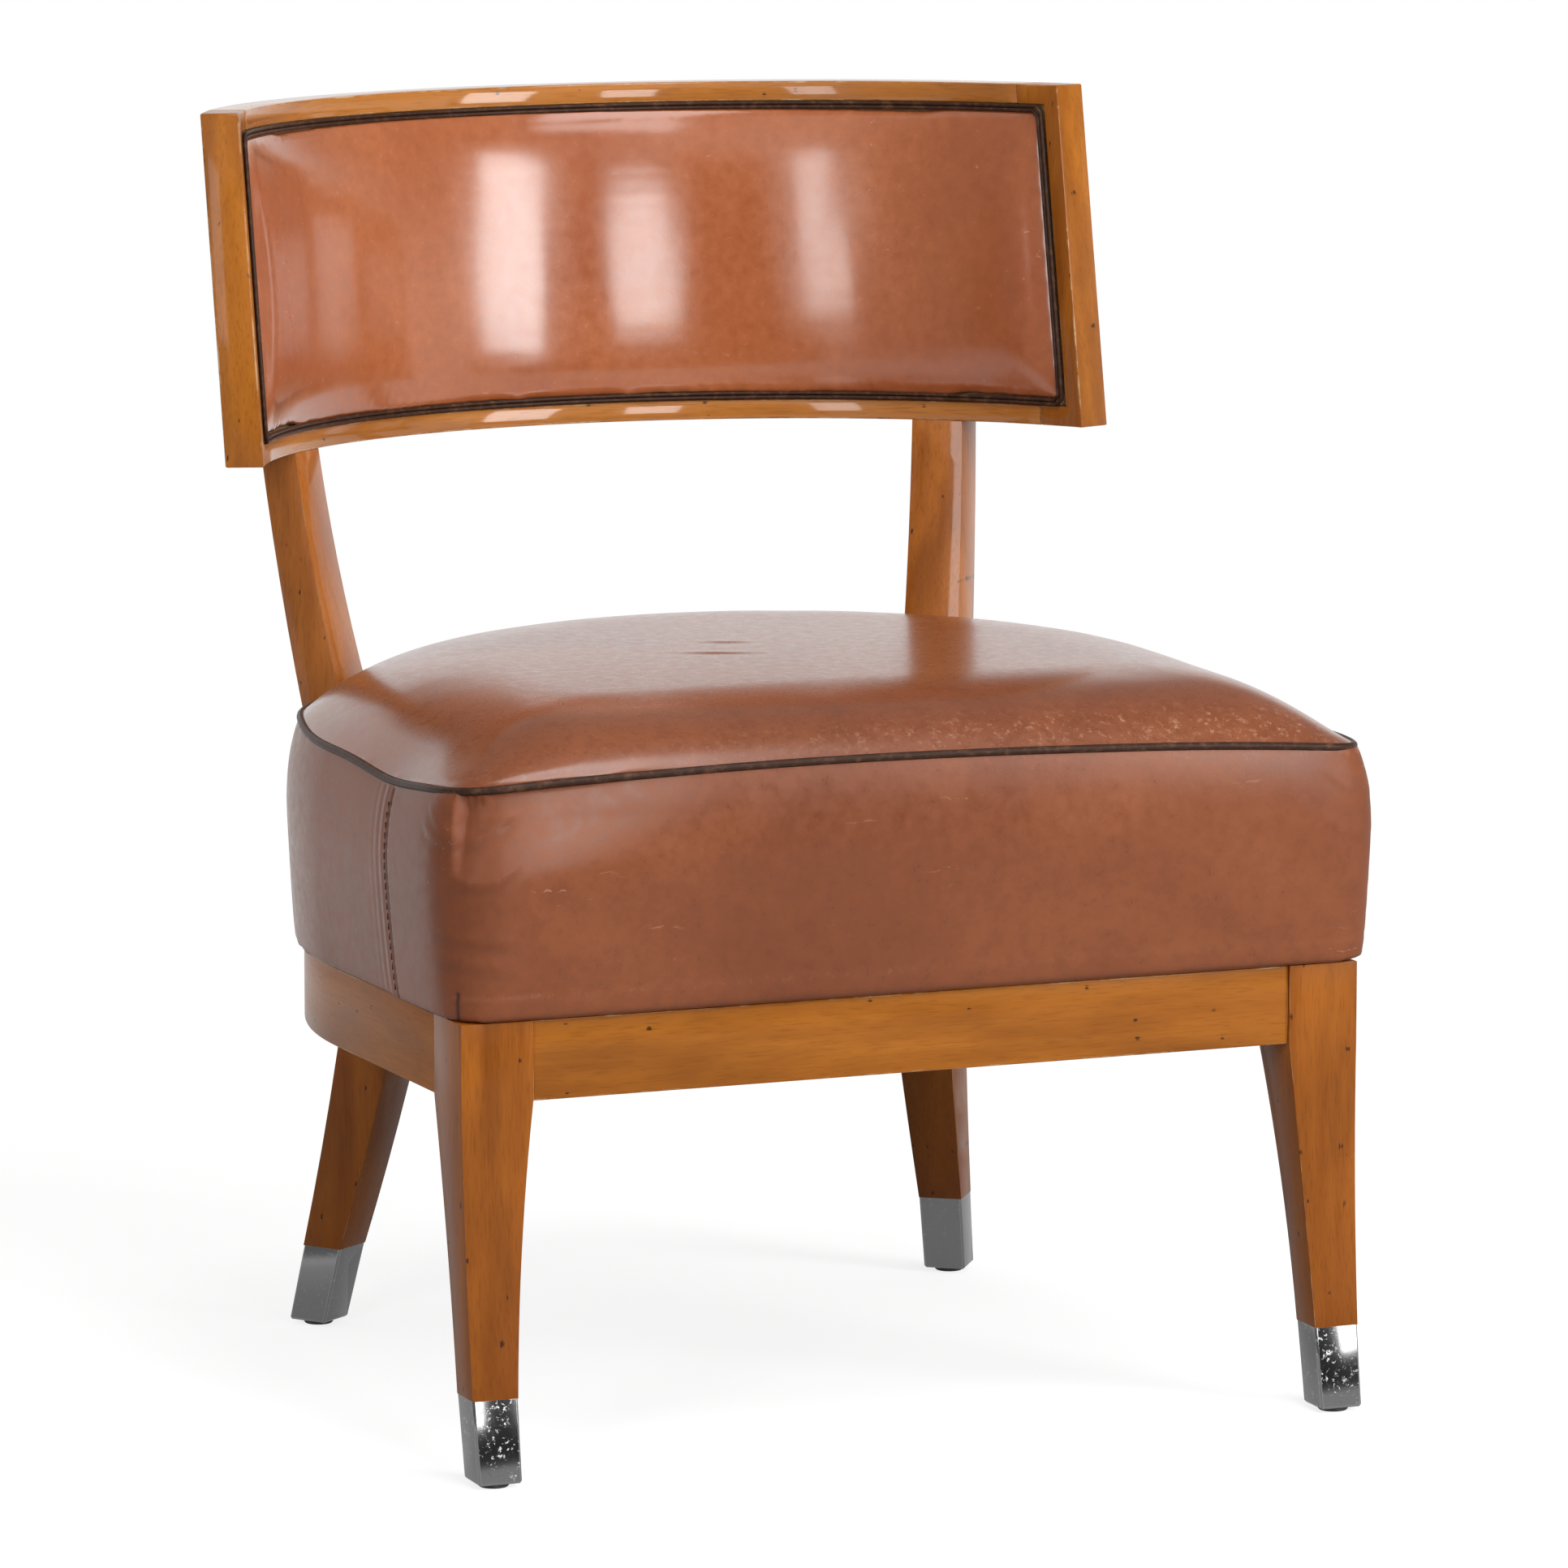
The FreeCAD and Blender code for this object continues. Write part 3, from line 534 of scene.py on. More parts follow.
def waxed_hide(name, shades, roughness, shine, coat):
    """Waxed leather: cloudy stain, pores, fine creases and scratches. Dark seams, painted shade in folds,
    slits and along the lower edge, and wear come from the mesh.
    """
    material, tree, shader = new_finish(name)
    dark, middle, light = shades
    place = own_place(tree)
    seam_and_painted_shade, rubbed, dull = [node(tree, "Attribute", {"attribute_name": stored}).outputs["Fac"]
                            for stored in ("seam_and_painted_shade", "rubbed", "dull")]
    clouds = noise(tree, place, 6.5, 4.0, Roughness=0.6, Distortion=0.6)
    mottle = noise(tree, place, 120.0, 5.0, Roughness=0.7)
    stain = tint(tree, spread(tree, clouds, 0.34, 0.68, 0.0, 1.0), middle, light)
    stain = tint(tree, spread(tree, mottle, 0.60, 0.30, 0.0, 0.28), stain, dark)
    wavy = node(tree, "Mix", {"data_type": "VECTOR"})
    bent = node(tree, "TexNoise", Vector=place, Scale=60.0, Detail=2.0).outputs["Color"]
    for number, value in ((0, 0.012), (4, place), (5, bent)):
        feed(tree, wavy.inputs[number], value)
    scratch = noise(tree, stretched(tree, wavy.outputs[1], (9.0, 240.0, 240.0), (0.4, 0.7, 0.5)), 1.0, 3.0)
    bare = noise(tree, place, 16.0, 1.0)
    scuffs = maths(tree, "MULTIPLY", spread(tree, scratch, 0.69, 0.74, 0.0, 0.45),
                   spread(tree, bare, 0.5, 0.65, 0.0, 1.0))
    stain = tint(tree, scuffs, stain, HIDE_WORN)
    flaked = noise(tree, place, 210.0, 5.0, Roughness=0.8)
    flakes = maths(tree, "MULTIPLY", rubbed, spread(tree, flaked, 0.54, 0.66, 0.0, 0.7))
    stain = tint(tree, flakes, stain, HIDE_WORN)
    # Dark seams, and painted shade in the fold hollows, the slits and the gap along the walls' lower edge.
    stain = tint(tree, seam_and_painted_shade, stain, SEAM_AND_SHADE_BLACK)
    crackle = node(tree, "TexVoronoi", {"feature": "DISTANCE_TO_EDGE"}, Vector=wavy.outputs[1], Scale=150.0)
    cells = node(tree, "TexVoronoi", Vector=place, Scale=900.0)
    surface = raised(tree, spread(tree, crackle.outputs["Distance"], 0.0, 0.12, 0.0, 1.0), 0.04, 0.0003)
    surface = raised(tree, cells.outputs["Distance"], 0.035, 0.0002, surface)
    wax = spread(tree, mottle, 0.3, 0.7, roughness - 0.05, roughness + 0.09)
    dress(tree, shader, stain, maths(tree, "ADD", wax, dull), surface,
          Specular_IOR_Level=shine, Coat_Weight=coat, Coat_Roughness=0.7 * roughness)
    return material


def largest_part(piece):
    """Keeps only the outer skin of a remeshed form."""
    name = piece.name
    edit_all(piece)
    bpy.ops.mesh.separate(type="LOOSE")
    close_edit()
    parts = sorted(bpy.context.selected_objects, key=lambda part: len(part.data.vertices))
    keep = parts.pop()
    for part in parts:
        bpy.data.objects.remove(part)
    keep.name = name
    only(keep)
    return keep


def blow_up(piece, held, slack, pressure, bending, cap):
    """Free points are drawn in by slack, then cloth under air pressure for a moment, every move capped."""
    piece.data.update()
    inward = [-slack * point.normal for point in piece.data.vertices]
    for point in piece.data.vertices:
        if point.index not in held:
            point.co += inward[point.index]
    pin = piece.vertex_groups.new(name="held")
    pin.add(sorted(held), 1.0, "REPLACE")
    before = [point.co.copy() for point in piece.data.vertices]
    cloth = piece.modifiers.new("cloth", "CLOTH")
    cloth.settings.quality = 5
    cloth.settings.mass = 0.3
    cloth.settings.tension_stiffness = 22
    cloth.settings.compression_stiffness = 22
    cloth.settings.shear_stiffness = 10
    cloth.settings.bending_stiffness = bending
    cloth.settings.vertex_group_mass = pin.name
    cloth.settings.use_pressure = True
    cloth.settings.uniform_pressure_force = pressure
    cloth.settings.effector_weights.gravity = 0
    cloth.collision_settings.use_collision = False
    cloth.point_cache.frame_start = 1
    cloth.point_cache.frame_end = CLOTH_STEPS
    for step in range(1, CLOTH_STEPS + 1):
        scene.frame_set(step)
    only(piece)
    bpy.ops.object.modifier_apply(modifier=cloth.name)
    scene.frame_set(1)
    for point, start in zip(piece.data.vertices, before):
        move = point.co - start
        if move.length > cap:
            point.co = start + move.normalized() * cap
    piece.vertex_groups.clear()


def soften(piece):
    """Rounds a piece by one level of subdivision."""
    only(piece)
    softer = piece.modifiers.new("softer", "SUBSURF")
    softer.levels = 1
    softer.render_levels = 1
    bpy.ops.object.modifier_apply(modifier=softer.name)


def surface_of(mesh):
    """Search tree of a mesh's surface, for distances to it."""
    return BVHTree.FromPolygons([point.co for point in mesh.vertices],
                                [face.vertices for face in mesh.polygons])


def nearest(surfaces, co):
    return min(surface.find_nearest(co)[3] for surface in surfaces)


def clamp(value):
    return min(1.0, max(0.0, value))


wall_hide = waxed_hide("waxed_hide_walls", HIDE_SHADES, 0.31, 0.34, 0.05)
top_hide = waxed_hide("waxed_hide_top", HIDE_SHADES, 0.27, 0.4, 0.55)

# The room that the plywood takes up under the cover, cut out of the cushion at the end.
base_plug = added("base_plug", base_board.data.copy())
edit_all(base_plug)
bpy.ops.mesh.convex_hull()
close_edit()
plug_low, plug_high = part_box("seat_base")
webbing_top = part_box("seat_webbing")[1].z
for point in base_plug.data.vertices:
    is_top = point.co.z > (plug_low.z + plug_high.z) / 2
    point.co.z = webbing_top if is_top else SEAT_BOTTOM + HIDE_THICKNESS

SEAT_NODES = ("seat_top_cover", "seat_front_boxing", "seat_side_boxing_left", "seat_side_boxing_right",
              "seat_back_boxing", "seat_foam")
cushion = copy_of("seat_cushion", "seat_piping", *SEAT_NODES)
filling = added("filling", base_plug.data.copy())
for point in filling.data.vertices:
    point.co.z = webbing_top + SEAT_VOXEL if point.co.z > plug_high.z else SEAT_BOTTOM
cushion = joined([cushion, filling])
cushion.data.remesh_voxel_size = SEAT_VOXEL
bpy.ops.object.voxel_remesh()
cushion = largest_part(cushion)
pick(cushion, lambda point: point.co.z > SEAT_BOTTOM + 2 * SEAT_VOXEL)
bpy.ops.mesh.vertices_smooth(factor=0.5, repeat=2)
close_edit()

posts = [surface_of(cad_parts["rear_stile_" + side].data) for side in ("left", "right")]
held = set()
for point in cushion.data.vertices:
    near_piping = abs(point.co.z - PIPING_HEIGHT) < 0.6 * SEAT_VOXEL
    near_post = nearest(posts, point.co) < 2 * SEAT_VOXEL
    if point.co.z < SEAT_BOTTOM + 0.7 * SEAT_VOXEL or near_piping or near_post:
        held.add(point.index)
blow_up(cushion, held, SEAT_SLACK, 4.0, 1.5, SEAT_CAP)
pick(cushion, lambda point: point.co.z > PIPING_HEIGHT + SEAT_VOXEL and point.index not in held)
bpy.ops.mesh.vertices_smooth(factor=0.5, repeat=12)
close_edit()


def from_outline(co):
    """Distance out of the seam's D-shaped outline and the way out, then the reach in from front and side."""
    ahead = clamp((HOOP_CENTRE_Y - co.y) / (HOOP_CENTRE_Y - SEAT_FRONT_Y))
    from_hub = Vector((co.x - SEAT_DRIFT * ahead, max(co.y - HOOP_CENTRE_Y, 0.0), 0.0))
    past_side = from_hub.length - HOOP_RADIUS - (SEAT_HALF_WIDTH - HOOP_RADIUS) * ahead
    lean = clamp((co.z - SEAT_BOTTOM) / WALL_HEIGHT)
    past_front = SEAT_FRONT_Y + FRONT_RECESS * lean * max(0.0, (-co.x - LEFT_END) / 0.15) ** 1.6 - co.y
    side = 1 if co.x > 0 else -1
    corner = CORNER_RADII[side]
    if past_side > -corner and past_front > -corner:
        from_turn = Vector((side * (past_side + corner), -past_front - corner, 0.0))
        return from_turn.length - corner, from_turn.normalized(), -past_front, -past_side
    if past_front > past_side:
        return past_front, Vector((0, -1, 0)), -past_front, -past_side
    return past_side, from_hub.normalized(), -past_front, -past_side


def swell(height):
    """How far the wall stands out of the seam's outline: full at the belly, drawn in at both edges."""
    if height < BELLY_HEIGHT:
        up = max(0.0, (height - SEAT_BOTTOM) / (BELLY_HEIGHT - SEAT_BOTTOM))
        return FOOT_PROUD + (BELLY_PROUD - FOOT_PROUD) * up ** 0.68
    over = min(1.0, (height - BELLY_HEIGHT) / (PIPING_HEIGHT - BELLY_HEIGHT))
    return SEAM_PROUD + (BELLY_PROUD - SEAM_PROUD) * (1 - over ** 2) ** 0.7


def roll(inward, width):
    """Share of the crown's height at a distance in from the seam."""
    return 1 - (1 - clamp(inward / width)) ** 3.3


cushion.data.update()
normals = [point.normal.copy() for point in cushion.data.vertices]
for point, normal in zip(cushion.data.vertices, normals):
    co = point.co
    past, out, from_front, from_side = from_outline(co)
    from_post = nearest(posts, co) if co.y > POSTS_FROM_Y else 1.0
    pull = SEAT_TAUTNESS * clamp((from_post - POST_CLEAR) / POST_FADE)
    if abs(co.z - PIPING_HEIGHT) < SEAT_VOXEL / 2 and normal.dot(out) > 0.2:
        point.co += out * (pull * (SEAM_PROUD - past))
        point.co.z += pull * (PIPING_HEIGHT - co.z)
    elif co.z < PIPING_HEIGHT and normal.dot(out) > 0.35:
        drawn = SHOULDER_DRAW * max(0.0, (-co.x - LEFT_END) / 0.14) ** 1.3 if out.y < -0.7 else 0.0
        full = swell(co.z) - drawn * clamp((co.z - BELLY_HEIGHT) / 0.03)
        point.co += out * (pull * (full - past))
    elif co.z > PIPING_HEIGHT and normal.z > 0.15:
        top = PIPING_HEIGHT + CROWN_HEIGHT * roll(from_front, FRONT_ROLL) * roll(from_side, SIDE_ROLL)
        point.co += out * (pull * min(0.0, SEAM_PROUD - 0.6 * (co.z - PIPING_HEIGHT) - past))
        point.co.z += pull * (top - co.z)
soften(cushion)


def bell(distance, width):
    return math.exp(-(distance / width) ** 2)


def arch(co):
    """How far the piping is drawn up along the front by the crown behind it, and sags along the sides."""
    past, out, from_front, from_side = from_outline(co)
    across = max(0.0, 1 - (co.x / SEAT_HALF_WIDTH) ** 2) * (1 - 1.3 * co.x)
    drop = PIPING_DROP * max(0.0, co.x / SEAT_HALF_WIDTH - 0.5) ** 2
    sag = bell(co.y - PIPING_SAG_Y, 0.055) - 0.7 * bell(co.y, 0.05)
    return ((PIPING_ARCH * across - drop) * bell(max(0.0, from_front), 0.05)
            - PIPING_SAG * sag * bell(max(0.0, from_side), 0.04))


# Creases at the front corners, where the wall is pulled round. Each has three points, as distance along
# the wall from the corner and height, and then how far the fold stands out.
FOLDS = (((-0.032, 0.4116), (-0.024, 0.4060), (-0.015, 0.4020), 0.0007),
         ((-0.034, 0.4007), (-0.003, 0.3967), (0.021, 0.4046), 0.0011),
         ((0.007, 0.4080), (0.014, 0.4088), (0.021, 0.4094), 0.0006),
         ((-0.001, 0.3712), (0.012, 0.3714), (0.022, 0.3756), 0.0011),
         ((-0.017, 0.3406), (0.000, 0.3374), (0.015, 0.3356), 0.0007),
         ((-0.013, 0.3237), (-0.002, 0.3222), (0.010, 0.3212), 0.0006))
FOLD_STRENGTH = {-1: 0.42, 1: 0.126}
FOLD_END = 0.007
FOLD_CREST = 0.0030
FOLD_DIP = 0.0038
FOLD_DIP_BELOW = 0.0060
DULLED_CORNER = 0.30
DULLED_WIDTH = 0.030
TOP_FOLDS = ((-0.014, -0.037, 0.016), (-0.037, -0.080, 0.024))
TOP_FOLD_WAY = Vector((0.927, -0.375))
TOP_FOLD_PROUD = 0.0004
SEAM_WIDTH = 0.0018
SEAM_SUNK = 0.0011
GATHER_PITCH = 0.0085
GATHER_PROUD = 0.0003
HEM_HEIGHT = 0.0155
HEM_PROUD = 0.0006
HEM_EDGE = 0.0012
EDGE_LINE = 0.0022
SLIT_HEIGHT = 0.0195
SLIT_RUN = -0.006
SLIT_WIDTH = 0.0011
SLIT_SUNK = 0.0008


def at_front_corner(face):
    spot = face.center
    return (abs(spot.x) > SEAT_HALF_WIDTH - 0.055 and spot.y < SEAT_FRONT_Y + SEAM_BACK + 0.035
            and spot.z < PIPING_HEIGHT - 0.002)


pick(cushion, at_front_corner, "FACE")
bpy.ops.mesh.subdivide(number_cuts=1)
bpy.ops.mesh.select_mode(type="VERT")
close_edit()


def along_wall(co, side):
    """Distance along the wall from the middle of a front corner, ahead to the front and back to the side."""
    corner = CORNER_RADII[side]
    over_x = side * (co.x - SEAT_DRIFT) - (SEAT_HALF_WIDTH - corner)
    over_y = SEAT_FRONT_Y + corner - co.y
    half_arc = math.pi / 4 * corner
    if over_x <= 0:
        return half_arc - over_x
    if over_y <= 0:
        return over_y - half_arc
    return (math.pi / 4 - math.atan2(over_x, over_y)) * corner


def fold_height(fold, run):
    """Height of a fold's crest at a distance along the wall, a curve through its three points."""
    (a, at), (b, bt), (c, ct), proud = fold
    return (at * (run - b) * (run - c) / ((a - b) * (a - c))
            + bt * (run - a) * (run - c) / ((b - a) * (b - c))
            + ct * (run - a) * (run - b) / ((c - a) * (c - b)))


def seam_y(height):
    """Where the seam between the front wall and a side wall runs, slanting forward to the rail."""
    return SEAT_FRONT_Y + SEAM_BACK + SEAM_SLANT * (height - SEAT_BOTTOM) / WALL_HEIGHT


marks = {"seam_and_painted_shade": [], "rubbed": [], "dull": []}
cushion.data.update()
normals = [point.normal.copy() for point in cushion.data.vertices]
for point, normal in zip(cushion.data.vertices, normals):
    co = point.co.copy()
    wall = 1.0 if abs(normal.z) < 0.75 and co.z < PIPING_HEIGHT - 0.004 else 0.0
    side = 1 if co.x > 0 else -1
    outward = 0.0
    # Painted shadow: a dark line along the foot of the walls, in the gap above the rails.
    seam_and_painted_shade = 0.75 * wall * bell(co.z - SEAT_BOTTOM, EDGE_LINE)
    rubbed = (bell(co.z - PIPING_HEIGHT - 0.010, 0.014) * bell(co.y - SEAT_FRONT_Y - 0.012, 0.022)
              * min(1.0, max(0.25, 0.6 + 2.0 * co.x)))
    if co.z > PIPING_HEIGHT + 0.02:
        for x, y, half_length in TOP_FOLDS:
            away = Vector((co.x - x, co.y - y))
            beside = TOP_FOLD_WAY.cross(away)
            ends = bell(TOP_FOLD_WAY.dot(away), half_length)
            outward += TOP_FOLD_PROUD * ends * (bell(beside - 0.005, 0.004) - bell(beside + 0.004, 0.005))
    run = along_wall(co, side)
    if wall and run < 0.09 and co.y < SEAT_FRONT_Y + SEAM_BACK + 0.05:
        for fold in FOLDS:
            start, end, proud = fold[0][0], fold[2][0], fold[3]
            beyond = max(0.0, start - run, run - end)
            if beyond < 0.02:
                above = co.z - fold_height(fold, min(max(run, start - 0.01), end + 0.01))
                strength = FOLD_STRENGTH[side] * bell(beyond, FOLD_END)
                crest = strength * bell(above, FOLD_CREST)
                dip = strength * bell(above + FOLD_DIP_BELOW, FOLD_DIP)
                outward += proud * (crest - 0.8 * dip)
                # Painted shade in the hollow under each fold.
                seam_and_painted_shade += 0.28 * dip
                rubbed += 0.25 * crest
        behind = co.y - seam_y(co.z)
        seam = bell(behind, SEAM_WIDTH) if abs(co.x) > 0.25 else 0.0
        outward -= SEAM_SUNK * seam
        seam_and_painted_shade += 0.55 * seam
        if behind > 0:
            gather = math.cos(2 * math.pi * behind / GATHER_PITCH) * bell(behind, 0.020)
            outward += GATHER_PROUD * gather * (1 - seam)
        slit = bell(run - SLIT_RUN, SLIT_WIDTH) if co.z < SEAT_BOTTOM + SLIT_HEIGHT else 0.0
        outward -= SLIT_SUNK * slit
        # Painted shade inside the slit.
        seam_and_painted_shade += 0.95 * slit
    if wall and co.y < SEAT_FRONT_Y + 0.012:
        turned_up = clamp((SEAT_BOTTOM + HEM_HEIGHT + HEM_EDGE - co.z) / (2 * HEM_EDGE))
        fade = clamp(0.75 - 1.2 * co.x)
        outward += HEM_PROUD * turned_up * fade
        rubbed += 0.22 * fade * bell(co.z - SEAT_BOTTOM - HEM_HEIGHT, EDGE_LINE)
    lift = arch(co) * clamp((co.z - SEAT_BOTTOM) / WALL_HEIGHT)
    point.co = co + normal * outward + Vector((0, 0, lift))
    marks["seam_and_painted_shade"].append(min(1.0, seam_and_painted_shade))
    marks["rubbed"].append(min(1.0, rubbed))
    marks["dull"].append(DULLED_CORNER * wall * bell(run, DULLED_WIDTH))
for name, values in marks.items():
    cushion.data.attributes.new(name, "FLOAT", "POINT").data.foreach_set("value", values)

seam_line = cushion.data.copy()
recess = cushion.modifiers.new("recess", "BOOLEAN")
recess.operation = "DIFFERENCE"
recess.solver = "EXACT"
recess.object = base_plug
only(cushion)
bpy.ops.object.modifier_apply(modifier=recess.name)
bpy.data.objects.remove(base_plug)
bpy.ops.object.shade_smooth()
give(cushion, wall_hide, top_hide)
for face in cushion.data.polygons:
    face.material_index = 1 if face.center.z > PIPING_HEIGHT + arch(face.center) else 0
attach(cushion, "root")
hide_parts(*SEAT_NODES)


# Seam stitches: a row of dark thread behind each seam of the side walls.
# There the hide is turned in and sewn down through both layers.
STITCH_RADIUS = 0.0005
STITCH_LENGTH = 0.0034
STITCH_PITCH = 0.0062
STITCH_BACK = 0.0032
FIRST_STITCH = 0.008
NO_STITCHES = 0.020
THREAD_BROWN = (0.022, 0.010, 0.006, 1)

thread, tree, shader = new_finish("thread")
twist = noise(tree, stretched(tree, own_place(tree), (900.0, 900.0, 2400.0)))
dress(tree, shader, THREAD_BROWN, spread(tree, twist, 0.3, 0.7, 0.5, 0.7))

bpy.ops.object.select_all(action="DESELECT")
bpy.ops.mesh.primitive_uv_sphere_add(segments=8, ring_count=6, radius=STITCH_RADIUS, location=(0, 0, 0))
stitch = bpy.context.active_object
pick(stitch, lambda point: point.co.z > 0)
bpy.ops.transform.translate(value=(0, 0, STITCH_LENGTH / 2))
bpy.ops.mesh.select_all(action="INVERT")
bpy.ops.transform.translate(value=(0, 0, -STITCH_LENGTH / 2))
close_edit()
hide = surface_of(cushion.data)
sewn = []
for side in (-1, 1):
    for row in range(int((WALL_HEIGHT - NO_STITCHES) / STITCH_PITCH)):
        height = SEAT_BOTTOM + FIRST_STITCH + row * STITCH_PITCH
        start = Vector((side * 0.4, seam_y(height) + STITCH_BACK, height))
        spot = hide.ray_cast(start, Vector((-side, 0, 0)))[0]
        copy = added("seat_seam_stitches", stitch.data.copy())
        for point in copy.data.vertices:
            point.co += spot
        sewn.append(copy)
bpy.data.objects.remove(stitch)
seam_stitches = joined(sewn)
bpy.ops.object.shade_smooth()
give(seam_stitches, thread)
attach(seam_stitches, "root")


# Seat piping: a cord in a sleeve of dark brown leather, rubbed paler in places.
# Its flange is sewn in between the top panel and the walls, and it ends at the rear stiles.
CORD_RADIUS = 0.0026
CORD_BROWN = (0.042, 0.017, 0.009, 1)
CORD_RUBBED = (0.150, 0.070, 0.040, 1)
CORD_STEP = 0.005
CORD_BELOW = 0.0007
CORD_TO_POST = 0.004


def scuffs(tree):
    return noise(tree, own_place(tree), 160.0, 5.0, Roughness=0.7)


cord_hide = two_tone("cord_hide", scuffs, 0.5, 0.72, CORD_BROWN, CORD_RUBBED, (0.34, 0.5),
                     bump=(0.25, 0.0003), most=0.8, Specular_IOR_Level=0.18)
cord = added("seat_piping_cord", seam_line)
for point in cord.data.vertices:
    point.co.z -= arch(point.co)
edit_all(cord)
bpy.ops.mesh.bisect(plane_co=(0, 0, PIPING_HEIGHT - CORD_BELOW), plane_no=(0, 0, 1), threshold=0.000001,
                    clear_inner=True, clear_outer=True)
bpy.ops.mesh.select_all(action="SELECT")
bpy.ops.mesh.remove_doubles(threshold=CORD_STEP)
bpy.ops.mesh.vertices_smooth(factor=0.5, repeat=4)
close_edit()
pick(cord, lambda point: nearest(posts, point.co) < CORD_TO_POST)
bpy.ops.mesh.delete(type="VERT")
close_edit()
for point in cord.data.vertices:
    point.co.z += arch(point.co)
for name in marks:
    cord.data.attributes.remove(cord.data.attributes[name])
bpy.ops.object.convert(target="CURVE")
cord.data.bevel_depth = CORD_RADIUS
cord.data.bevel_resolution = 4
cord.data.use_fill_caps = True
bpy.ops.object.convert(target="MESH")
bpy.ops.object.shade_smooth()
give(cord, cord_hide)
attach(cord, "root")
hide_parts("seat_piping")


# Back frame: two bent rails and two end stiles of beech, glued into a raked band, with a veneered panel
# behind. The grain follows the bend, and the inner edges are rubbed pale.
# Painted sheen: a lighter stain than the rails', for the pale veil of reflected light on the back's rails and
# panel.
BAND_SHADES_PAINTED_SHEEN = ((0.230, 0.070, 0.012, 1), (0.420, 0.145, 0.022, 1), (0.530, 0.205, 0.038, 1))
BAND_COAT = 0.8
END_COAT = 0.2
BACK_RADIUS = 0.310
BACK_RAKE = math.radians(11.3)
BACK_EDGE_PITCH = math.radians(1.75)
BACK_MID_Y = 0.592 - 0.3206
BACK_MID_Z = 0.573
BACK_HEIGHT = 0.2247
BACK_HALF_ANGLE = math.radians(67.3)
BACK_BORDER = 0.013
BACK_AXIS = Vector((0, BACK_MID_Y - BACK_RADIUS * math.cos(BACK_RAKE),
                    BACK_MID_Z + BACK_RADIUS * math.sin(BACK_RAKE)))
BACK_TILT = BACK_RAKE - BACK_EDGE_PITCH


def on_band(angle, height, radius):
    """Point of the back band: angle from its middle, height above its lower edge, distance from its axis."""
    deep = radius * math.cos(angle)
    up = (deep - BACK_RADIUS) * math.tan(BACK_TILT) + height / math.cos(BACK_TILT)
    return BACK_AXIS + Vector((radius * math.sin(angle),
                               deep * math.cos(BACK_RAKE) + up * math.sin(BACK_RAKE),
                               up * math.cos(BACK_RAKE) - deep * math.sin(BACK_RAKE)))


def to_band(co):
    """Angle, height and radius of a point in the back band."""
    off = co - BACK_AXIS
    deep = off.y * math.cos(BACK_RAKE) - off.z * math.sin(BACK_RAKE)
    up = off.y * math.sin(BACK_RAKE) + off.z * math.cos(BACK_RAKE)
    height = (up - (deep - BACK_RADIUS) * math.tan(BACK_TILT)) * math.cos(BACK_TILT)
    return math.atan2(off.x, deep), height, math.hypot(off.x, deep)


def round_the_back(co):
    angle, height, radius = to_band(co)
    return angle * BACK_RADIUS, height, radius


# Painted sheen in the lighter stain, over the real polish of the coat.
band_beech = varnished_beech("polished_beech_painted_sheen", BAND_SHADES_PAINTED_SHEEN, BAND_COAT)
band_edge = varnished_beech("polished_edge_painted_sheen", BAND_SHADES_PAINTED_SHEEN, BAND_COAT, worn=True)
for number, piece_name in enumerate(("back_top_rail", "back_bottom_rail", "back_rear_panel")):
    rail = eased_copy(piece_name, EASED_EDGE, band_beech, band_edge)
    lay_grain(rail, round_the_back, 9.0 + 0.9 * number)
# The end stiles take the rails' lighter stain, which is partly painted light.
end_beech = varnished_beech("end_beech", RAIL_SHADES_PARTLY_PAINTED_LIGHT, END_COAT)
end_edge = varnished_beech("end_edge", RAIL_SHADES_PARTLY_PAINTED_LIGHT, END_COAT, worn=True)
for number, side in enumerate(("left", "right")):
    end = eased_copy("back_end_stile_" + side, EASED_EDGE, end_beech, end_edge)
    lay_grain(end, upright, 12.0 + 1.2 * number)


# Back pad: foam on the bent board under one panel of the same hide, let into the front of the frame.
# The hide is pulled tight over the board's edges and stapled behind, and use has polished it.
PAD_SHADES = ((0.210, 0.048, 0.015, 1), (0.370, 0.098, 0.030, 1), (0.460, 0.140, 0.048, 1))
PAD_VOXEL = 0.004
PAD_SLACK = 0.002
PAD_ROW = 0.005
PAD_TAUTNESS = 0.85
PAD_CAP = 0.007
PAD_MARGIN = 0.03

pad_hide = waxed_hide("waxed_hide_back", PAD_SHADES, 0.20, 0.35, 0.9)
pad = copy_of("back_pad", "back_pad_cover", "back_pad_foam", "back_piping")
pad.data.remesh_voxel_size = PAD_VOXEL
bpy.ops.object.voxel_remesh()
pad = largest_part(pad)
rim = [surface_of(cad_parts[name].data) for name in ("back_piping", "back_pad_board")]
held = {point.index for point in pad.data.vertices if nearest(rim, point.co) < 0.8 * PAD_VOXEL}
blow_up(pad, held, PAD_SLACK, 5.0, 30.0, PAD_CAP)
edit_all(pad)
bpy.ops.mesh.vertices_smooth(factor=0.5, repeat=30)
close_edit()
rows = {}
for point in pad.data.vertices:
    angle, height, radius = to_band(point.co)
    if point.index not in held and abs(angle) < 0.75 * BACK_HALF_ANGLE:
        rows.setdefault(round(height / PAD_ROW), []).append(radius)
profile = {row: sum(radii) / len(radii) for row, radii in rows.items()}
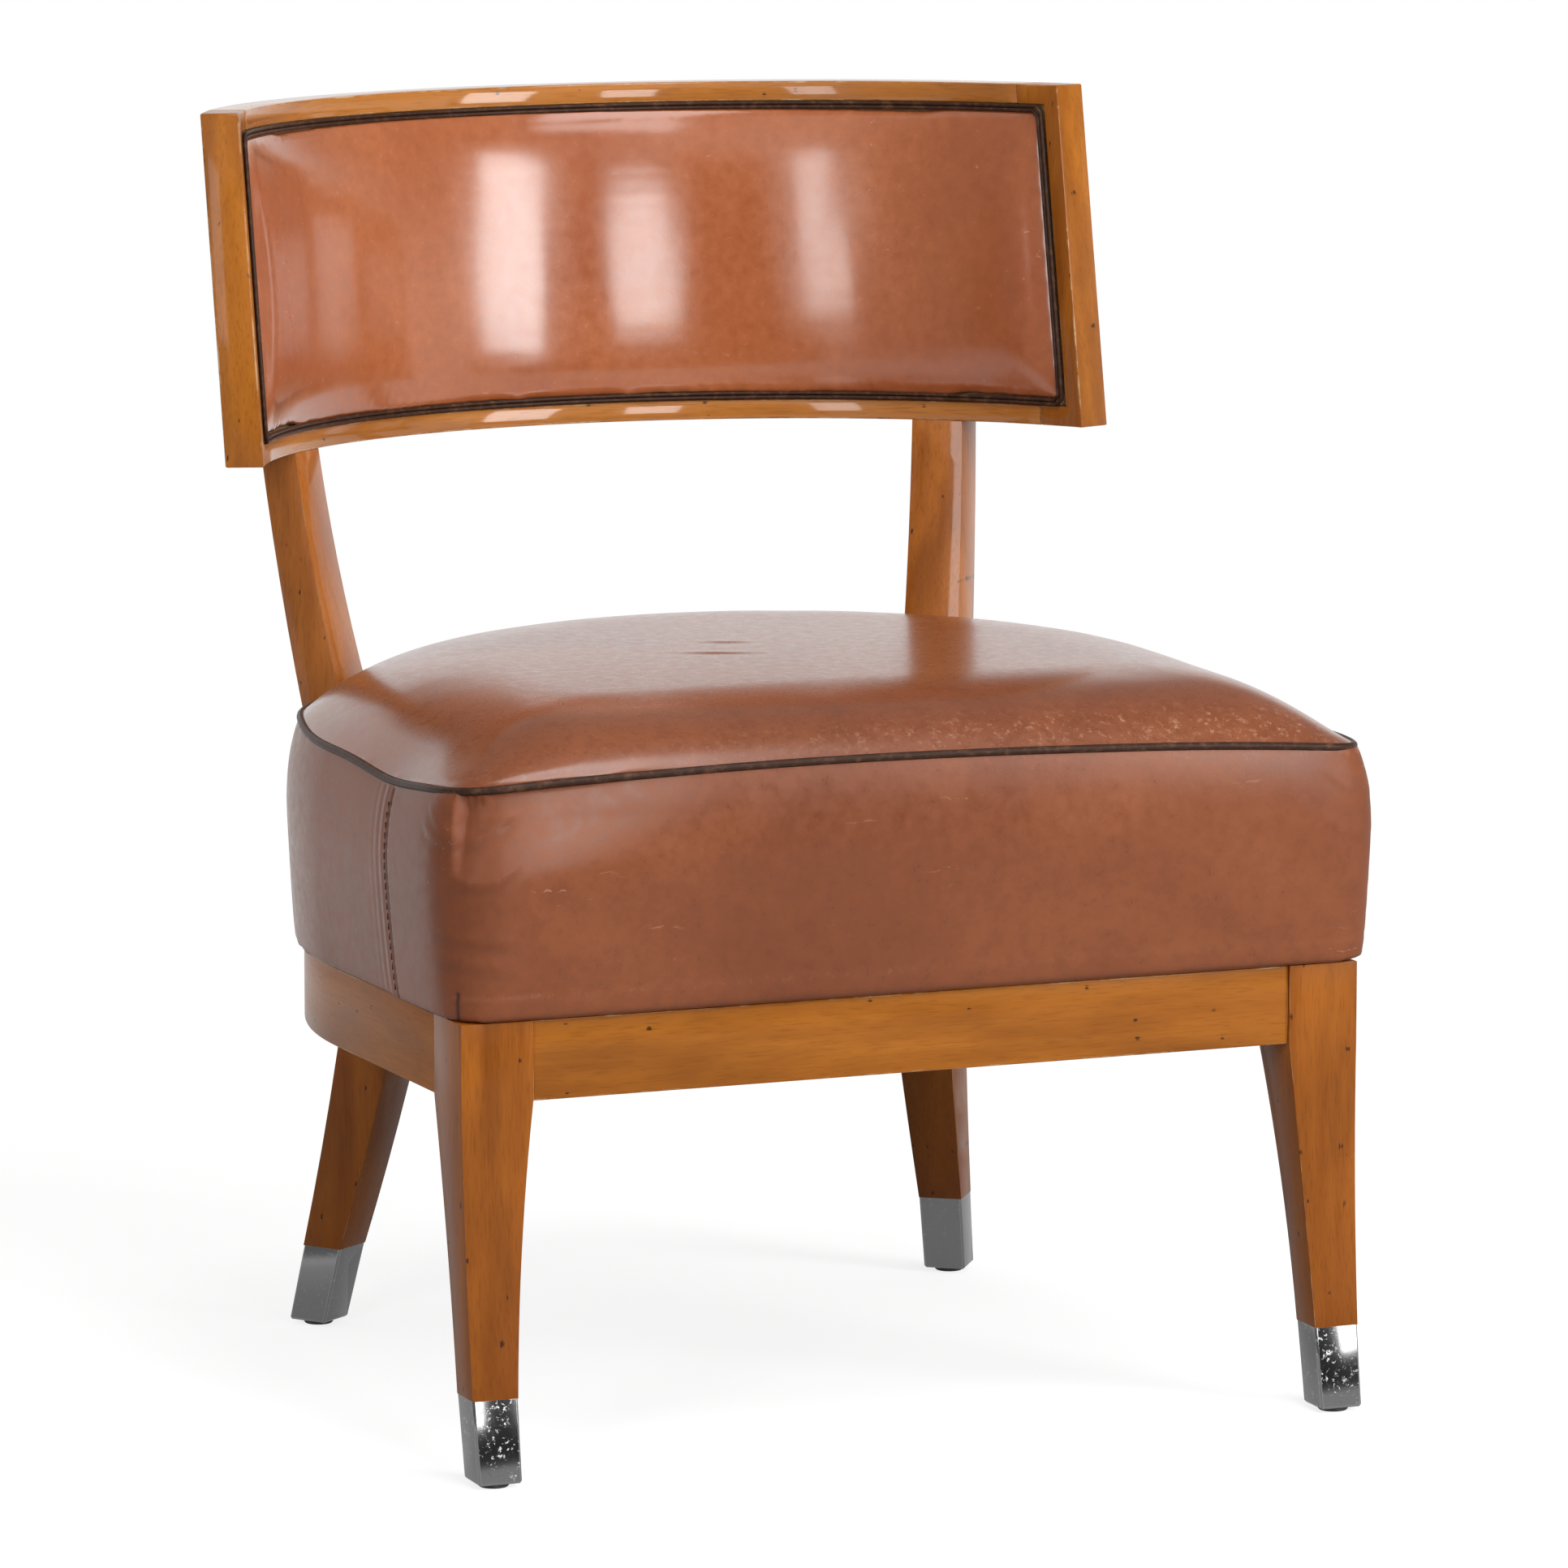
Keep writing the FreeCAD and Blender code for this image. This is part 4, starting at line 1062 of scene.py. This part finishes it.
for point in pad.data.vertices:
    angle, height, radius = to_band(point.co)
    row = math.floor(height / PAD_ROW)
    if point.index in held or row not in profile or row + 1 not in profile:
        continue
    part = height / PAD_ROW - row
    even = profile[row] * (1 - part) + profile[row + 1] * part
    inside = clamp((BACK_HALF_ANGLE - abs(angle)) * BACK_RADIUS / PAD_MARGIN - 1.0)
    point.co = on_band(angle, height, radius + (even - radius) * PAD_TAUTNESS * inside)
soften(pad)
bpy.ops.object.shade_smooth()
give(pad, pad_hide)
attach(pad, "root")
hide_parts("back_pad_cover", "back_pad_foam")


# Back piping: double cord, two thin cords side by side in one sleeve of the seat piping's leather.
# It is glued down in the step between the pad and the frame.
TWIN_RADIUS = 0.00135
TWIN_TURN = 0.004
LONG_STEPS = 44
END_STEPS = 8


def band_cord(name, inset):
    """Cord round the band's face at an inset from its edges."""
    half = BACK_HALF_ANGLE - inset / BACK_RADIUS
    turn = TWIN_TURN / BACK_RADIUS
    low, high = inset, BACK_HEIGHT - inset
    front = BACK_RADIUS - 1.1 * TWIN_RADIUS
    run = [-half + turn + (2 * half - 2 * turn) * step / LONG_STEPS for step in range(LONG_STEPS + 1)]
    rise = [TWIN_TURN + (high - low - 2 * TWIN_TURN) * step / END_STEPS for step in range(END_STEPS + 1)]
    points = [on_band(angle, low, front) for angle in run]
    points += [on_band(half, low + up, front) for up in rise]
    points += [on_band(angle, high, front) for angle in reversed(run)]
    points += [on_band(-half, high - up, front) for up in rise]
    curve = bpy.data.curves.new(name, "CURVE")
    curve.dimensions = "3D"
    spline = curve.splines.new("POLY")
    spline.points.add(len(points) - 1)
    for target, point in zip(spline.points, points):
        target.co = (*point, 1)
    spline.use_cyclic_u = True
    curve.bevel_depth = TWIN_RADIUS
    curve.bevel_resolution = 3
    only(added(name, curve))
    bpy.ops.object.convert(target="MESH")
    return bpy.context.view_layer.objects.active


welt = joined([band_cord("back_piping_cord", BACK_BORDER + TWIN_RADIUS),
               band_cord("back_piping_inner", BACK_BORDER + 3 * TWIN_RADIUS)])
bpy.ops.object.shade_smooth()
give(welt, cord_hide)
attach(welt, "root")
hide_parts("back_piping")


# Studio: a pale floor that runs into a white background, tall windows in front and to the right,
# a soft light overhead, and a dim wall behind the camera for the polish to mirror.
FLOOR_SIZE = 14.0
FLOOR_WHITE = (0.36, 0.36, 0.36, 1)
FLOOR_FAINT = (0.40, 0.40, 0.40, 1)
FLOOR_GLOW = (0.34, 0.78)
WHITE_FROM, WHITE_TO = 0.7, 1.5
WHITE = (1, 1, 1, 1)
ROOM_LIGHT = 0.36
WALL_GREY = (0.16, 0.155, 0.15, 1)
WALL_PLACE = (1.0, -7.4, 2.2)
WALL_SIZE = (16, 1, 5.4)
MATT = 0.9
LAMPS_AIM = Vector((0, 0, 0.55))


def shown_rays(tree):
    """Camera rays, and all that show the background: the camera's, mirrored ones and those through glass."""
    path = node(tree, "LightPath")
    direct = path.outputs["Is Camera Ray"]
    mirrored = maths(tree, "MAXIMUM", direct, path.outputs["Is Glossy Ray"])
    return direct, maths(tree, "MAXIMUM", mirrored, path.outputs["Is Transmission Ray"])


def either(tree, factor, first, second):
    """Shader between two others."""
    mix = node(tree, "MixShader")
    for socket, value in zip(mix.inputs, (factor, first, second)):
        tree.links.new(value, socket)
    return mix.outputs[0]


scene.view_settings.view_transform = "Standard"
bpy.ops.object.select_all(action="DESELECT")
bpy.ops.mesh.primitive_plane_add(size=FLOOR_SIZE, location=(0, 0, 0))
floor = bpy.context.active_object
floor.name = "studio_floor"
floor_paint, tree, shader = new_finish("studio_floor")
dress(tree, shader, FLOOR_WHITE, MATT)
direct, shown = shown_rays(tree)
glow = node(tree, "Emission", Strength=spread(tree, direct, 0.0, 1.0, *FLOOR_GLOW))
near = node(tree, "AddShader")
tree.links.new(node(tree, "BsdfDiffuse", Color=FLOOR_FAINT).outputs[0], near.inputs[0])
tree.links.new(glow.outputs[0], near.inputs[1])
away = node(tree, "VectorMath", {"operation": "LENGTH"})
tree.links.new(own_place(tree), away.inputs[0])
paler = either(tree, spread(tree, away.outputs["Value"], WHITE_FROM, WHITE_TO, 0.0, 1.0), near.outputs[0],
               node(tree, "Emission", Strength=1.0).outputs[0])
tree.links.new(either(tree, shown, shader.outputs[0], paler), tree.nodes["Material Output"].inputs["Surface"])
give(floor, floor_paint)

world = bpy.data.worlds.new("studio")
scene.world = world
world.use_nodes = True
tree = world.node_tree
room = tree.nodes["Background"]
room.inputs["Color"].default_value = WHITE
room.inputs["Strength"].default_value = ROOM_LIGHT
way = node(tree, "SeparateXYZ", Vector=node(tree, "TexCoord").outputs["Generated"])
rise = maths(tree, "MULTIPLY_ADD", way.outputs["X"], 0.4, way.outputs["Z"])
walls = maths(tree, "MULTIPLY", spread(tree, rise, 0.50, 0.66, 1.0, 0.25),
              spread(tree, way.outputs["X"], -0.85, -0.60, 0.3, 1.0))
direct, shown = shown_rays(tree)
mirrored_room = node(tree, "Background", Color=WHITE, Strength=maths(tree, "MAXIMUM", walls, direct))
tree.links.new(either(tree, shown, room.outputs[0], mirrored_room.outputs[0]),
               tree.nodes["World Output"].inputs["Surface"])

bpy.ops.object.select_all(action="DESELECT")
bpy.ops.mesh.primitive_plane_add(size=1.0, location=WALL_PLACE, rotation=(math.radians(90), 0, 0))
wall = bpy.context.active_object
wall.name = "studio_wall"
bpy.ops.transform.resize(value=WALL_SIZE, center_override=WALL_PLACE)
wall_paint, tree, shader = new_finish("studio_wall")
dress(tree, shader, WALL_GREY, MATT)
give(wall, wall_paint)
wall.visible_camera = False


def soft_lamp(name, bearing, distance, height, width, tall, power):
    """Area lamp at a bearing from straight in front, turned to the right, aimed at the chair."""
    lamp = bpy.data.lights.new(name, "AREA")
    lamp.shape = "RECTANGLE"
    lamp.size = width
    lamp.size_y = tall
    lamp.energy = power
    stand = added(name, lamp)
    angle = math.radians(bearing)
    stand.location = (distance * math.sin(angle), -distance * math.cos(angle), height)
    stand.rotation_euler = (LAMPS_AIM - stand.location).to_track_quat("-Z", "Y").to_euler()


soft_lamp("window_right", 38.5, 3.8, 1.72, 1.29, 1.80, 73.0)
soft_lamp("window_middle", 1.9, 3.8, 1.815, 0.95, 1.42, 38.0)
soft_lamp("window_left", -46, 3.8, 1.80, 0.80, 1.60, 25.0)
soft_lamp("top_light", 15, 1.4, 3.2, 1.7, 1.7, 40.0)


# Camera: a long lens from the front left, a little above the seat.
# Its place and focal length were fitted to points of the whole chair.
IMAGE_SIZE = 1932.0
FOCAL_PIXELS = 11669.24
CENTRE_PIXEL = (943.31, 925.73)
CAMERA_PLACE = Vector((-2.2435, -5.6193, 1.3253))
CAMERA_TARGET = Vector((0.0, -0.0706, 0.400))

lens = bpy.data.cameras.new("camera")
lens.sensor_width = 36.0
lens.lens = lens.sensor_width * FOCAL_PIXELS / IMAGE_SIZE
lens.shift_x = (IMAGE_SIZE / 2 - CENTRE_PIXEL[0]) / IMAGE_SIZE
lens.shift_y = (CENTRE_PIXEL[1] - IMAGE_SIZE / 2) / IMAGE_SIZE
camera = added("camera", lens)
camera.location = CAMERA_PLACE
camera.rotation_euler = (CAMERA_TARGET - CAMERA_PLACE).to_track_quat("-Z", "Y").to_euler()
scene.camera = camera
